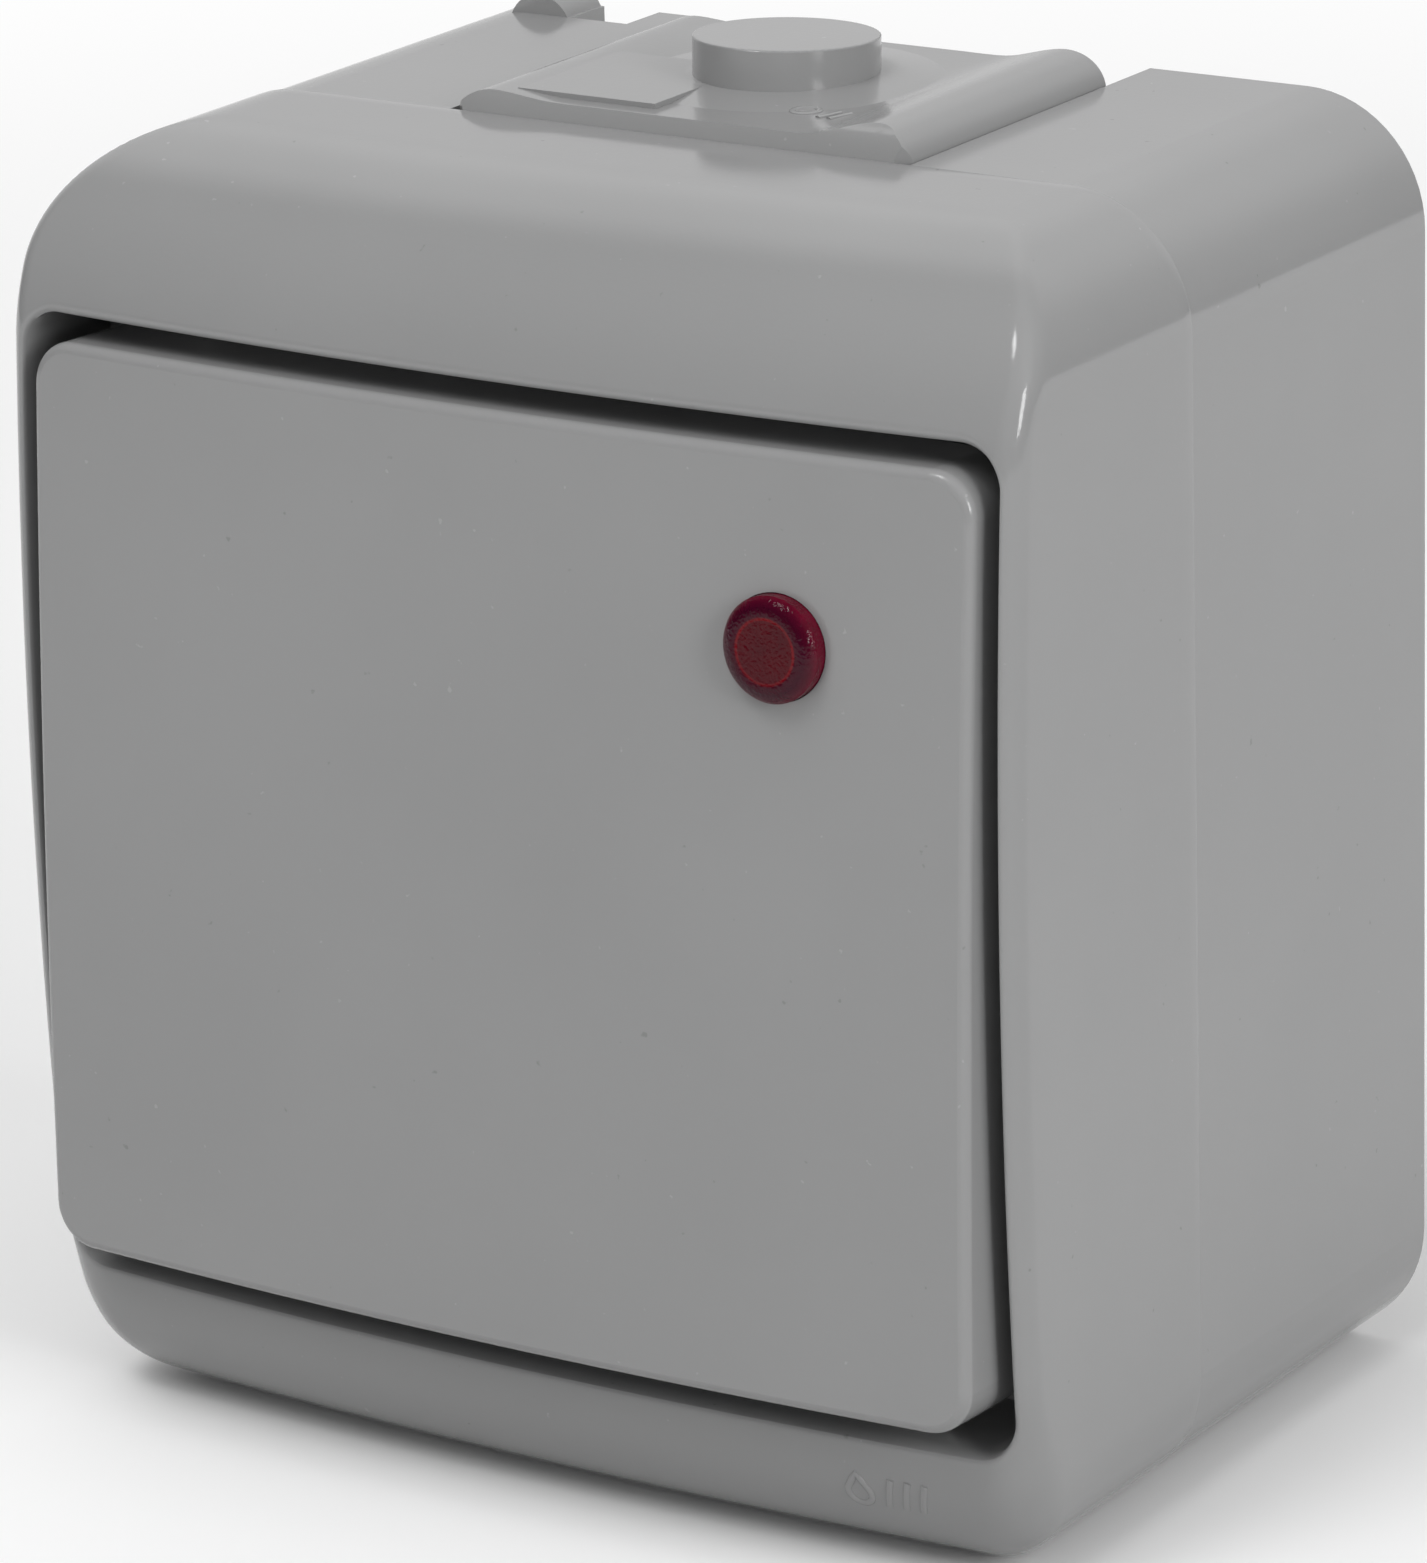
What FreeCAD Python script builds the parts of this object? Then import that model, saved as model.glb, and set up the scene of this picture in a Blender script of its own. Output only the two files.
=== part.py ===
import FreeCAD, Part
import math
import os
from FreeCAD import Vector

# Surface-mounted weatherproof rocker switch, in millimetres.
# X runs to the right, Y into the wall, Z up. The origin is the middle of the face that
# lies on the wall, so the front of the switch is at negative Y.

# Whole switch
overall_width = 66.0
overall_height = 75.0
overall_depth = 47.5          # wall to the foremost point of the cover
box_depth = 26.5              # wall to the seam between box and cover
corner_radius = 7.5           # the four long edges, seen from the front

# Allowances
beyond = 1.0                  # how far a cutting solid reaches past what it cuts
far_beyond = 5.0
touch = 0.01                  # overlap that lets touching solids join
smallest_corner = 0.3
bulge_sweep = 16.0            # degrees of turn, more than any curved front needs

# Back box
box_wall = 1.8
floor_thickness = 2.2
rear_recess = 4.0             # the floor stands this far in front of the wall
seam_step = 0.12              # the box is this much smaller than the cover, sides and top
rear_rib_width = 2.0
rear_rib_length = 40.0
wall_screw_spacing = 52.0
wall_slot_width = 4.4
wall_slot_length = 8.0
knockout_radius = 8.0
knockout_groove = 0.8
knockout_groove_depth = 1.0
knockout_depth_from_wall = 15.0
edge_notch_x = -20.25         # notch in the rear edge of the top, left of the grommet
edge_notch_width = 3.9
edge_notch_depth = 3.5
lug_x = -24.4                 # rounded lug beside that notch
lug_radius = 2.2
lug_sink = 1.0
lug_length = 3.6

# Cable grommet in the slot of the box's top
slot_half_width = 15.2
grommet_clearance = 0.15
grommet_rear = 4.75           # wall to the grommet's back edge
grommet_level = 1.0           # plate above the box's top
grommet_lip_rise = 0.8        # right lip above the plate
grommet_left_rise = 0.3       # left lip above the plate
grommet_lip_crest = 12.5      # crest of a side lip from the middle
grommet_valley = 8.0          # where a side lip starts to rise
grommet_side_drop = 2.1
grommet_front_rise = 0.5
grommet_front_crest = 1.0     # crest of the front lip behind the seam
grommet_front_width = 2.4
grommet_front_drop = 1.6
grommet_flange_overlap = 2.0
grommet_flange_thickness = 1.5
grommet_flange_start = 2.7    # flange behind the seam, clear of the cover's tongue
boss_radius = 5.35
boss_height = 2.45            # above the plate
boss_tilt = 2.6               # degrees, its front edge up
mound_radius = 8.8            # soft rise of the plate round the boss
mound_height = 0.35
grommet_corner = 0.9          # taken off the two front corners
boss_from_wall = 14.6
boss_edge_round = 0.1
membrane = 0.9
boss_wall = 1.0
pad_width = 9.2
pad_right = -2.3
pad_front = 1.7               # pad behind the seam
pad_height = 0.3

# Front cover
plan_radius = 346.8           # bulge of the front, seen from above
upright_radius = 394.0        # bulge of the front, seen from the side
top_roll = 12.0
bottom_roll = 8.6
side_edge_round = 0.85
front_crossing = 11.0         # degrees at which that rounding meets the front
side_crossing = 84.0          # and the side
cover_wall = 2.0
side_wall = 1.2               # cover beside the rocker's window
window_width = overall_width - 2 * side_wall
window_height = 57.0
window_z = -0.3
window_corner = 2.4
window_edge_round = 0.4
well_depth = 10.5             # front of the cover to the floor of the rocker's well
well_floor = 1.6
well_wall = 1.6
well_opening_width = 23.6
well_opening_height = 25.2
well_opening_corner = 2.0
rim_height = 2.6              # stiff rim behind the seam
tongue_depth = 2.5
tongue_wall = 1.2
tongue_clearance = 0.15
groove_inset = 0.7            # gasket groove from the cover's outside
gasket_width = 1.1
gasket_thickness = 0.8

# Rocker
rocker_side_gap = 1.1
rocker_end_gap = 1.8
rocker_width = window_width - 2 * rocker_side_gap
rocker_height = window_height - 2 * rocker_end_gap
rocker_corner = 2.6
rocker_proud = 1.05           # middle of the rocker's face in front of the cover
rocker_plan_radius = 350.0
rocker_upright_radius = 900.0
rocker_skirt = 7.5
rocker_wall = 1.8
rocker_edge_round = 0.6
rocker_half_tilt = 2.5
pivot_depth = 9.0             # rocker's pivot behind the front of the cover
leg_width = 10.0
leg_thickness = 1.6
hook_depth = 0.7
hook_thickness = 0.7
leg_clearance = 0.1
rib_height = 1.6
rib_thickness = 1.2

# Indicator lens
lens_x = 19.25
lens_z = 16.1                 # above the pivot
lens_radius = 2.95
lens_length = 4.3
lens_proud = 1.15
lens_upright_rim = 0.6        # of that height, before the shoulder
lens_flat_radius = 1.8
lens_bore_radius = 1.8
lens_cap = 1.8                # solid front of the lens over its bore
lens_fit = 0.04
lens_collar_wall = 1.4
lens_collar_length = 3.2

# Rocker carrier, plunger and toggle spring
carrier_plate_width = 18.4
carrier_plate_height = 19.0
carrier_plate_thickness = 1.5
carrier_plate_front = 4.0     # front of the plate before the pivot
trunnion_radius = 1.5
trunnion_length = 21.8
trunnion_rib = 3.2
pivot_clearance = 0.05
stem_radius = 3.6
stem_length = 10.3            # behind the pivot
stem_bore_radius = 2.15
bore_roof = 0.8
plunger_radius = 2.1
plunger_head = 4.0
plunger_inset = 0.8
tip_radius = 1.5
tip_gap = 0.2
plunger_travel = 0.8
spring_coil_radius = 1.7
spring_wire_radius = 0.22
spring_turns = 6

# Contact lever
pivot_spacing_share = 16.0 / 47.5
pivot_spacing = overall_depth * pivot_spacing_share    # lever's pivot behind the rocker's
lever_half_tilt = 6.0
lever_width = 6.0
lever_length = 22.0
lever_thickness = 0.8
lever_rise = 1.8              # front of the lever before its pivot
cheek_thickness = 0.8
cheek_length = 6.0
cheek_depth = 1.4             # cheeks behind the lever's pivot
bar_radius = 0.8
bar_overhang = 0.4
contact_radius = 1.5
contact_height = 0.8
contact_arm = 9.5
contact_gap = 0.1

# Mechanism housing
tray_width = 47.0
tray_height = 42.0
tray_wall = 1.5
tray_back_wall = 1.6
tray_standoff = 3.0
tray_above_pivot = 3.4        # tray's front edge before the lever's pivot
lid_thickness = 1.6
stem_hole_radius = 4.5
collar_width = 27.6
collar_height = 29.2
collar_wall = 1.6
collar_corner = 2.0
seal_thickness = 1.2
bearing_cheek_thickness = 1.5
bearing_cheek_height = 8.0
bearing_cheek_gap = 0.3
bearing_cheek_beyond = 2.5    # cheek in front of the pivot
bearing_cheek_round = 1.5
chamber_half_width = 8.0
chamber_half_height = 12.2
chamber_wall = 1.2
standoff_radius = 3.6
mechanism_screw_x = 19.0
mechanism_screw_z = 16.5

# Terminals
strip_thickness = 0.8
strip_width = 5.2
strip_slot_clearance = 0.2
cage_width = 6.4
cage_height = 5.6
cage_depth_share = 8.0 / 47.5
cage_depth = overall_depth * cage_depth_share
cage_z = 16.4
cage_x = 12.0
wire_hole_radius = 1.7
wire_hole_from_front = 0.525 * cage_depth    # wire bore and its depth in the cage
wire_entry_clearance = 0.3
common_post_width = 3.8
common_post_thickness = 1.0

# Lamp
lamp_x = lens_x
lamp_z = 16.2
holder_radius = 3.4
holder_bore_radius = 2.45
holder_front = 6.1            # holder's mouth behind the front of the cover
holder_flange = 8.4
holder_floor = 1.5
holder_hole_clearance = 0.25
lamp_radius = 2.4
lamp_inset = 0.4
lead_radius = 0.3
lead_spacing = 2.2
resistor_radius = 1.2
resistor_length = 6.5
resistor_top = 11.6
resistor_above_strip = 2.0
tab_width = 2.4
tab_overhang = 1.0            # common strip's tab past the resistor's lead
resistor_edge_round = 0.4
lead_hole_clearance = 0.2

# Screws
screw_shank_radius = 1.5
screw_clearance_radius = 1.75
screw_head_radius = 2.8
screw_head_height = 1.8
screw_slot_width = 0.7
screw_slot_depth = 0.8
screw_edge_round = 0.5
cover_screw_turn = 60.0       # degrees that a head's slot is turned
mechanism_screw_turn = 30.0
terminal_screw_turns = (20.0, 55.0, 90.0, 125.0)
terminal_screw_gap = 1.0      # head before its cage
terminal_screw_hole_clearance = 0.3
cover_screw_x = 22.0
cover_screw_z = 24.6
cover_pillar_radius = 3.2
cover_screw_reach = 9.0
mechanism_screw_reach = 2.5
terminal_screw_head_radius = 2.3
terminal_screw_reach = 3.2

# Places worked out from the sizes above
half_width = overall_width / 2
half_height = overall_height / 2
front_y = -overall_depth
seam_y = -box_depth
box_half_width = half_width - seam_step
box_top = half_height - seam_step
box_inner_half_width = box_half_width - box_wall
box_inner_top = box_top - box_wall
box_inner_bottom = -half_height + box_wall
floor_back = -rear_recess
floor_front = floor_back - floor_thickness
well_front = front_y + well_depth
well_back = well_front + well_floor
pivot_y = front_y + pivot_depth
pivot_z = window_z
lever_y = pivot_y + pivot_spacing
tray_back = floor_front - tray_standoff
tray_floor = tray_back - tray_back_wall
tray_front = lever_y - tray_above_pivot
lid_front = tray_front - lid_thickness
collar_front = well_back + seal_thickness
strip_front = tray_floor - strip_thickness
cage_front = strip_front - cage_depth
wire_y = cage_front + wire_hole_from_front
boss_y = -boss_from_wall
boss_top = box_top + grommet_level + boss_height


def box(x0, x1, y0, y1, z0, z1):
    """Block between two corners."""
    return Part.makeBox(x1 - x0, y1 - y0, z1 - z0, Vector(x0, y0, z0))


def rod_x(y, z, radius, x0, x1):
    """Round bar along X."""
    return Part.makeCylinder(radius, x1 - x0, Vector(x0, y, z), Vector(1, 0, 0))


def rod_y(x, z, radius, y0, y1):
    """Round bar along Y."""
    return Part.makeCylinder(radius, y1 - y0, Vector(x, y0, z), Vector(0, 1, 0))


def rod_z(x, y, radius, z0, z1):
    """Round bar along Z."""
    return Part.makeCylinder(radius, z1 - z0, Vector(x, y, z0), Vector(0, 0, 1))


def along_y(edge):
    """True for a straight edge that runs along Y."""
    first, last = edge.Vertexes[0].Point, edge.Vertexes[-1].Point
    return abs(first.x - last.x) < 1e-6 and abs(first.z - last.z) < 1e-6 and abs(first.y - last.y) > 1e-6


def rounded_block(half_x, z0, z1, radius, y0, y1):
    """Block, centred on X, whose four edges along Y are rounded."""
    block = box(-half_x, half_x, y0, y1, z0, z1)
    return block.makeFillet(radius, [edge for edge in block.Edges if along_y(edge)])


def rounded_ring(half_x, z0, z1, radius, width, y0, y1):
    """Rounded rectangular ring of an even width."""
    outer = rounded_block(half_x, z0, z1, radius, y0, y1)
    inner_radius = max(radius - width, smallest_corner)
    inner = rounded_block(half_x - width, z0 + width, z1 - width, inner_radius, y0 - beyond, y1 + beyond)
    return outer.cut(inner)


def fuse_all(shapes):
    """One solid from several that touch or overlap."""
    return shapes[0].multiFuse(shapes[1:]).removeSplitter()


def tilt_about(shape, y, z, degrees):
    """Turn a shape about a line along X."""
    turned = shape.copy()
    turned.rotate(Vector(0, y, z), Vector(1, 0, 0), degrees)
    return turned


def lift(shape):
    """Move a shape from the mechanism's middle height to its place."""
    moved = shape.copy()
    moved.translate(Vector(0, 0, pivot_z))
    return moved


def arc_between(centre, start, end, radius):
    """Short arc round a centre in the YZ plane."""
    middle = (start + end) * 0.5 - centre
    middle.normalize()
    return Part.Arc(start, centre + middle * radius, end).toShape()


def bulged_solid(face_y, z_low, z_high, plan, upright, roll_low, roll_high, back_y, inset=0.0):
    """Solid with a doubly curved front: its side profile is turned about an upright line."""
    front_centre = Vector(0, face_y + upright, (z_low + z_high) / 2)
    bulge = upright - inset

    def rolled_corner(z_edge, sign, roll):
        z_centre = z_edge - sign * roll
        reach = upright - roll
        rise = z_centre - front_centre.z
        centre = Vector(0, front_centre.y - math.sqrt(reach ** 2 - rise ** 2), z_centre)
        outward = centre - front_centre
        outward.normalize()
        on_front = front_centre + outward * bulge
        on_edge = Vector(0, centre.y, z_edge - sign * inset)
        return on_front, on_edge, arc_between(centre, on_front, on_edge, roll - inset)

    low_front, low_edge, low_arc = rolled_corner(z_low, -1, roll_low)
    high_front, high_edge, high_arc = rolled_corner(z_high, 1, roll_high)
    low_back = Vector(0, back_y, low_edge.z)
    high_back = Vector(0, back_y, high_edge.z)
    edges = [
        Part.makeLine(low_back, low_edge),
        low_arc,
        arc_between(front_centre, low_front, high_front, bulge),
        high_arc,
        Part.makeLine(high_edge, high_back),
        Part.makeLine(high_back, low_back),
    ]
    profile = Part.Face(Part.Wire(Part.__sortEdges__(edges)))
    axis_point = Vector(0, face_y + plan, 0)
    upright_axis = Vector(0, 0, 1)
    profile.rotate(axis_point, upright_axis, -bulge_sweep / 2)
    return profile.revolve(axis_point, upright_axis, bulge_sweep)


def back_box():
    """Box with its rear skirt, floor, pillars, slot for the grommet and cable knock-out."""
    outer = rounded_block(box_half_width, -half_height, box_top, corner_radius, seam_y, 0)
    inside = (box_inner_half_width, box_inner_bottom, box_inner_top, corner_radius - box_wall)
    cavity = rounded_block(*inside, seam_y - beyond, floor_front)
    recess = rounded_block(*inside, floor_back, beyond)
    rib = rear_rib_width / 2
    rib_reach = box_inner_half_width + box_wall / 2
    ribs = [
        box(-rib_reach, rib_reach, floor_back, 0, -rib, rib),
        box(-rib, rib, floor_back, 0, -rear_rib_length / 2, rear_rib_length / 2),
    ]
    body = fuse_all([outer.cut(cavity).cut(recess)] + ribs)
    above = half_height + beyond
    slot = box(-slot_half_width, slot_half_width, seam_y - beyond, beyond, box_inner_top, above)
    notch_left = edge_notch_x - edge_notch_width / 2
    notch_right = notch_left + edge_notch_width
    notch = box(notch_left, notch_right, -edge_notch_depth, beyond, box_inner_top - beyond, above)
    body = body.cut(slot).cut(notch)
    lug = rod_y(lug_x, box_top - lug_sink, lug_radius, -lug_length, 0)
    left, right = lug_x - 2 * lug_radius, lug_x + 2 * lug_radius
    lug = lug.cut(box(left, right, -lug_length - beyond, beyond, 0, box_top - box_wall / 2))
    pillars = []
    holes = []
    for side in (-1, 1):
        x = side * cover_screw_x
        z = pivot_z - side * cover_screw_z
        pillars.append(rod_y(x, z, cover_pillar_radius, well_back, floor_front + touch))
        holes.append(rod_y(x, z, screw_shank_radius, well_back - beyond, well_back + cover_screw_reach))
        for other in (-1, 1):
            x = side * mechanism_screw_x
            z = pivot_z + other * mechanism_screw_z
            pillars.append(rod_y(x, z, standoff_radius, tray_back, floor_front + touch))
            if other != side:
                end = tray_back + mechanism_screw_reach
                holes.append(rod_y(x, z, screw_shank_radius, tray_back - beyond, end))
    for side in (-1, 1):
        holes.append(wall_slot(side * wall_screw_spacing / 2))
    knockout_y = -knockout_depth_from_wall
    below = -half_height - beyond
    groove = rod_z(0, knockout_y, knockout_radius, below, -half_height + knockout_groove_depth)
    core = rod_z(0, knockout_y, knockout_radius - knockout_groove, below, 0)
    holes.append(groove.cut(core))
    body = fuse_all([body, lug] + pillars)
    return body.cut(Part.makeCompound(holes))


def wall_slot(z):
    """Upright slot through the box's floor for a wall screw."""
    half = wall_slot_length / 2 - wall_slot_width / 2
    y0, y1 = floor_front - beyond, floor_back + 1
    ends = [rod_y(0, z + sign * half, wall_slot_width / 2, y0, y1) for sign in (-1, 1)]
    middle = box(-wall_slot_width / 2, wall_slot_width / 2, y0, y1, z - half, z + half)
    return fuse_all(ends + [middle])


def front_cover():
    """Domed cover: shell, rocker's well, seam rim with tongue and gasket groove."""
    dome = (front_y, -half_height, half_height, plan_radius, upright_radius, bottom_roll, top_roll)
    behind = seam_y + far_beyond
    ahead = front_y - far_beyond
    shell = bulged_solid(*dome, behind)
    outline = rounded_block(half_width, -half_height, half_height, corner_radius, ahead, seam_y)
    outer = shell.common(outline)
    rounded = outer.common(side_rounding())
    hollow = bulged_solid(*dome, behind, cover_wall)
    hollow_low, hollow_high = -half_height + cover_wall, half_height - cover_wall
    hollow_outline = rounded_block(
        half_width - side_wall, hollow_low, hollow_high, corner_radius - cover_wall, ahead, seam_y + beyond)
    body = rounded.cut(hollow.common(hollow_outline))
    window_low = window_z - window_height / 2
    window_high = window_z + window_height / 2
    well = box(-half_width, half_width, ahead, well_back, window_low - well_wall, window_high + well_wall)
    tongue_half = box_inner_half_width - tongue_clearance
    tongue_low = box_inner_bottom + tongue_clearance
    tongue_high = box_inner_top - tongue_clearance
    tongue_radius = corner_radius - box_wall - tongue_clearance
    rim_front = seam_y - rim_height
    tongue_end = seam_y + tongue_depth
    tongue = rounded_block(tongue_half, tongue_low, tongue_high, tongue_radius, rim_front, tongue_end)
    rim = rounded_block(half_width, -half_height, half_height, corner_radius, rim_front, seam_y)
    mouth = rounded_block(
        tongue_half - tongue_wall, tongue_low + tongue_wall, tongue_high - tongue_wall,
        tongue_radius - tongue_wall, rim_front - beyond, tongue_end + beyond)
    edge = rim.fuse(tongue).cut(mouth)
    body = fuse_all([body, well.common(rounded), edge])
    window = rounded_block(window_width / 2, window_low, window_high, window_corner, ahead, well_front)
    through = (well_front - beyond, well_back + beyond)
    opening_low, opening_high = pivot_z - well_opening_height / 2, pivot_z + well_opening_height / 2
    opening = rounded_block(well_opening_width / 2, opening_low, opening_high, well_opening_corner, *through)
    holes = [gasket_ring()]
    for side in (-1, 1):
        x, z = side * cover_screw_x, pivot_z - side * cover_screw_z
        holes.append(rod_y(x, z, screw_clearance_radius, *through))
    holes.append(rod_y(lamp_x, pivot_z + lamp_z, holder_radius + holder_hole_clearance, *through))
    body = body.cut(window).cut(opening).cut(Part.makeCompound(holes))
    return body.makeFillet(window_edge_round, window_rim_edges(body))


def side_rounding():
    """Wide solid whose rolled sides cut the cover's sharp side edges round."""
    front_angle = math.radians(front_crossing)
    side_angle = math.radians(side_crossing)
    radius = side_edge_round
    centre_x = half_width - radius * math.sin(side_angle)
    meet_x = centre_x + radius * math.sin(front_angle)
    meet_y = front_y + plan_radius - math.sqrt(plan_radius ** 2 - meet_x ** 2)
    centre = Vector(centre_x, meet_y + radius * math.cos(front_angle), 0)

    def on_roll(angle):
        return centre + Vector(math.sin(angle), -math.cos(angle), 0) * radius

    start = front_angle - math.radians(front_crossing / 4)
    first, middle, last = on_roll(start), on_roll((start + side_angle) / 2), on_roll(side_angle)
    back_y = seam_y + far_beyond
    tip = Vector(0, first.y - first.x * math.tan(start), 0)
    back = Vector(last.x + (back_y - last.y) / math.tan(side_angle), back_y, 0)

    def other(point):
        return Vector(-point.x, point.y, point.z)

    edges = [
        Part.makeLine(tip, first),
        Part.Arc(first, middle, last).toShape(),
        Part.makeLine(last, back),
        Part.makeLine(back, other(back)),
        Part.makeLine(other(back), other(last)),
        Part.Arc(other(last), other(middle), other(first)).toShape(),
        Part.makeLine(other(first), tip),
    ]
    profile = Part.Face(Part.Wire(edges))
    axis_point = Vector(0, front_y + upright_radius, 0)
    level_axis = Vector(1, 0, 0)
    profile.rotate(axis_point, level_axis, -bulge_sweep / 2)
    return profile.revolve(axis_point, level_axis, bulge_sweep)


def window_rim_edges(shape):
    """Edges of the window where it cuts the cover's front."""
    low = window_z - window_height / 2 - touch
    high = window_z + window_height / 2 + touch
    chosen = []
    for edge in shape.Edges:
        extent = edge.BoundBox
        reach = max(abs(extent.XMin), abs(extent.XMax))
        inside = reach < window_width / 2 + touch and low < extent.ZMin and extent.ZMax < high
        if inside and extent.YMax < well_front - well_depth / 3 and not along_y(edge):
            chosen.append(edge)
    return chosen


def gasket_ring():
    """Rubber ring between the cover and the box's edge, which is also its groove."""
    return rounded_ring(
        half_width - groove_inset, -half_height + groove_inset, half_height - groove_inset,
        corner_radius - groove_inset, gasket_width, seam_y - gasket_thickness, seam_y)


def smooth(share):
    """Rise from 0 to 1 that starts and ends level."""
    share = min(max(share, 0.0), 1.0)
    return share * share * (3 - 2 * share)


def fall(share):
    """Rounded fall from 0 to 1, level at its start."""
    return 1 - math.cos(share * math.pi / 2)


def spaced(low, high, count):
    """Evenly spaced values from low to high."""
    return [low + (high - low) * i / (count - 1) for i in range(count)]


def curve_face(points, base_z):
    """Face under a smooth curve, down to a level base."""
    curve = Part.BSplineCurve()
    curve.interpolate(points)
    first, last = points[0], points[-1]
    low_first = Vector(first.x, first.y, base_z)
    low_last = Vector(last.x, last.y, base_z)
    edges = [curve.toShape(), Part.makeLine(last, low_last), Part.makeLine(low_last, low_first),
             Part.makeLine(low_first, first)]
    return Part.Face(Part.Wire(edges))


def lip_points(half, level, rise):
    """Section of the plate from its middle over one side lip to its edge."""
    valleys = [(grommet_valley * s, 0.0) for s in spaced(0, 1, 5)[:-1]]
    width = grommet_lip_crest - grommet_valley
    rises = [(grommet_valley + width * s, rise * smooth(s)) for s in spaced(0, 1, 7)]
    roll = half - grommet_lip_crest
    rolls = []
    for turn in spaced(0, math.pi / 2, 8)[1:]:
        x = grommet_lip_crest + roll * math.sin(turn)
        rolls.append((x, rise - grommet_side_drop * (1 - math.cos(turn))))
    return [Vector(x, seam_y, level + height) for x, height in valleys + rises + rolls]


def cable_grommet():
    """Soft plate with rolled lips, round cable boss, membrane and inner flange."""
    half = slot_half_width - grommet_clearance
    level = box_top + grommet_level
    rear_y = -grommet_rear
    right = lip_points(half, level, grommet_lip_rise)
    left = [Vector(-p.x, p.y, p.z) for p in reversed(lip_points(half, level, grommet_left_rise)[1:])]
    long_way = Vector(0, rear_y - seam_y, 0)
    plate = curve_face(left + right, box_inner_top).extrude(long_way)
    left_roll = [p for p in left if p.x < touch - grommet_lip_crest]
    right_roll = [p for p in right if p.x > grommet_lip_crest - touch]
    sides = [curve_face(roll, box_inner_top).extrude(long_way) for roll in (left_roll, right_roll)]
    crests = box(-grommet_lip_crest, grommet_lip_crest, seam_y, rear_y, box_inner_top, boss_top)
    plate = plate.fuse(front_ridge(half, level).common(crests.multiFuse(sides)))
    plate = plate.common(front_limit(half + beyond, level)).cut(corner_cuts(half))
    pad_back = (box_inner_top + box_top) / 2
    pad = box(pad_right - pad_width, pad_right, seam_y + pad_front, boss_y, pad_back, level + pad_height)
    flange_half = slot_half_width + grommet_flange_overlap
    flange_low = box_inner_top - grommet_flange_thickness
    flange_front = seam_y + grommet_flange_start
    flange = box(-flange_half, flange_half, flange_front, floor_front, flange_low, box_inner_top)
    boss = rod_z(0, boss_y, boss_radius, box_inner_top, boss_top)
    boss = boss.makeFillet(boss_edge_round, [e for e in boss.Edges if e.BoundBox.ZMin > boss_top - touch])
    boss = tilt_about(boss, boss_y, boss_top, -boss_tilt)
    run = (mound_radius - boss_radius) / mound_height
    sunk, buried = mound_height / 4, mound_height / 2
    foot_radius, neck_radius = mound_radius + run * sunk, boss_radius - run * buried
    rise = sunk + mound_height + buried
    mound = Part.makeCone(foot_radius, neck_radius, rise, Vector(0, boss_y, level - sunk))
    body = fuse_all([plate, pad, flange, boss, mound])
    return body.cut(rod_z(0, boss_y, boss_radius - boss_wall, flange_low - beyond, boss_top - membrane))


def corner_cuts(half):
    """Wedges that take the plate's two front corners off."""
    wedges = []
    for side in (-1, 1):
        near = Vector(side * (half - grommet_corner - beyond), seam_y - beyond, box_inner_top)
        far = Vector(side * (half + beyond), seam_y + grommet_corner + beyond, box_inner_top)
        corner = Vector(far.x, near.y, box_inner_top)
        wedge = Part.Face(Part.makePolygon([near, corner, far, near]))
        wedges.append(wedge.extrude(Vector(0, 0, boss_top - box_inner_top)))
    return Part.makeCompound(wedges)


def front_ridge(half, level):
    """Low swell along the plate's front, behind the seam."""
    crest_y = seam_y + grommet_front_crest
    behind = [(grommet_front_width * s, grommet_front_rise * smooth(1 - s)) for s in spaced(0, 1, 6)]
    before = [(-y, height) for y, height in reversed(behind[1:])]
    points = [Vector(-half, crest_y + y, level + height) for y, height in before + behind]
    return curve_face(points, box_inner_top).extrude(Vector(2 * half, 0, 0))


def front_limit(reach, level):
    """Room that the plate's rolled front edge leaves it, from the seam to the rear."""
    nose = []
    for share in spaced(0, 1, 6):
        nose.append((grommet_front_crest * share, grommet_front_rise - grommet_front_drop * fall(1 - share)))
    climb = grommet_front_width - grommet_front_crest
    for share in (0.5, 1.0):
        nose.append((grommet_front_crest + climb * share, grommet_front_rise + grommet_lip_rise * share))
    points = [Vector(-reach, seam_y + y, level + height) for y, height in nose]
    front = curve_face(points, box_inner_top).extrude(Vector(2 * reach, 0, 0))
    last = points[-1]
    return front.fuse(box(-reach, reach, last.y, -grommet_rear + beyond, box_inner_top, last.z))


def rocker_solid(inset, back_y):
    """Rocker's outer block, or its hollow when inset, in the middle of its travel."""
    face_y = front_y - rocker_proud
    half = rocker_height / 2
    reach = half + rocker_skirt / 2
    roll = rocker_wall + inset
    block = bulged_solid(
        face_y, -reach, reach, rocker_plan_radius, rocker_upright_radius, roll, roll, back_y + beyond, inset)
    corner = max(rocker_corner - inset, rocker_wall / 4)
    ahead = face_y - beyond
    outline = rounded_block(rocker_width / 2 - inset, -half + inset, half - inset, corner, ahead, back_y)
    return block.common(outline)


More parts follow.
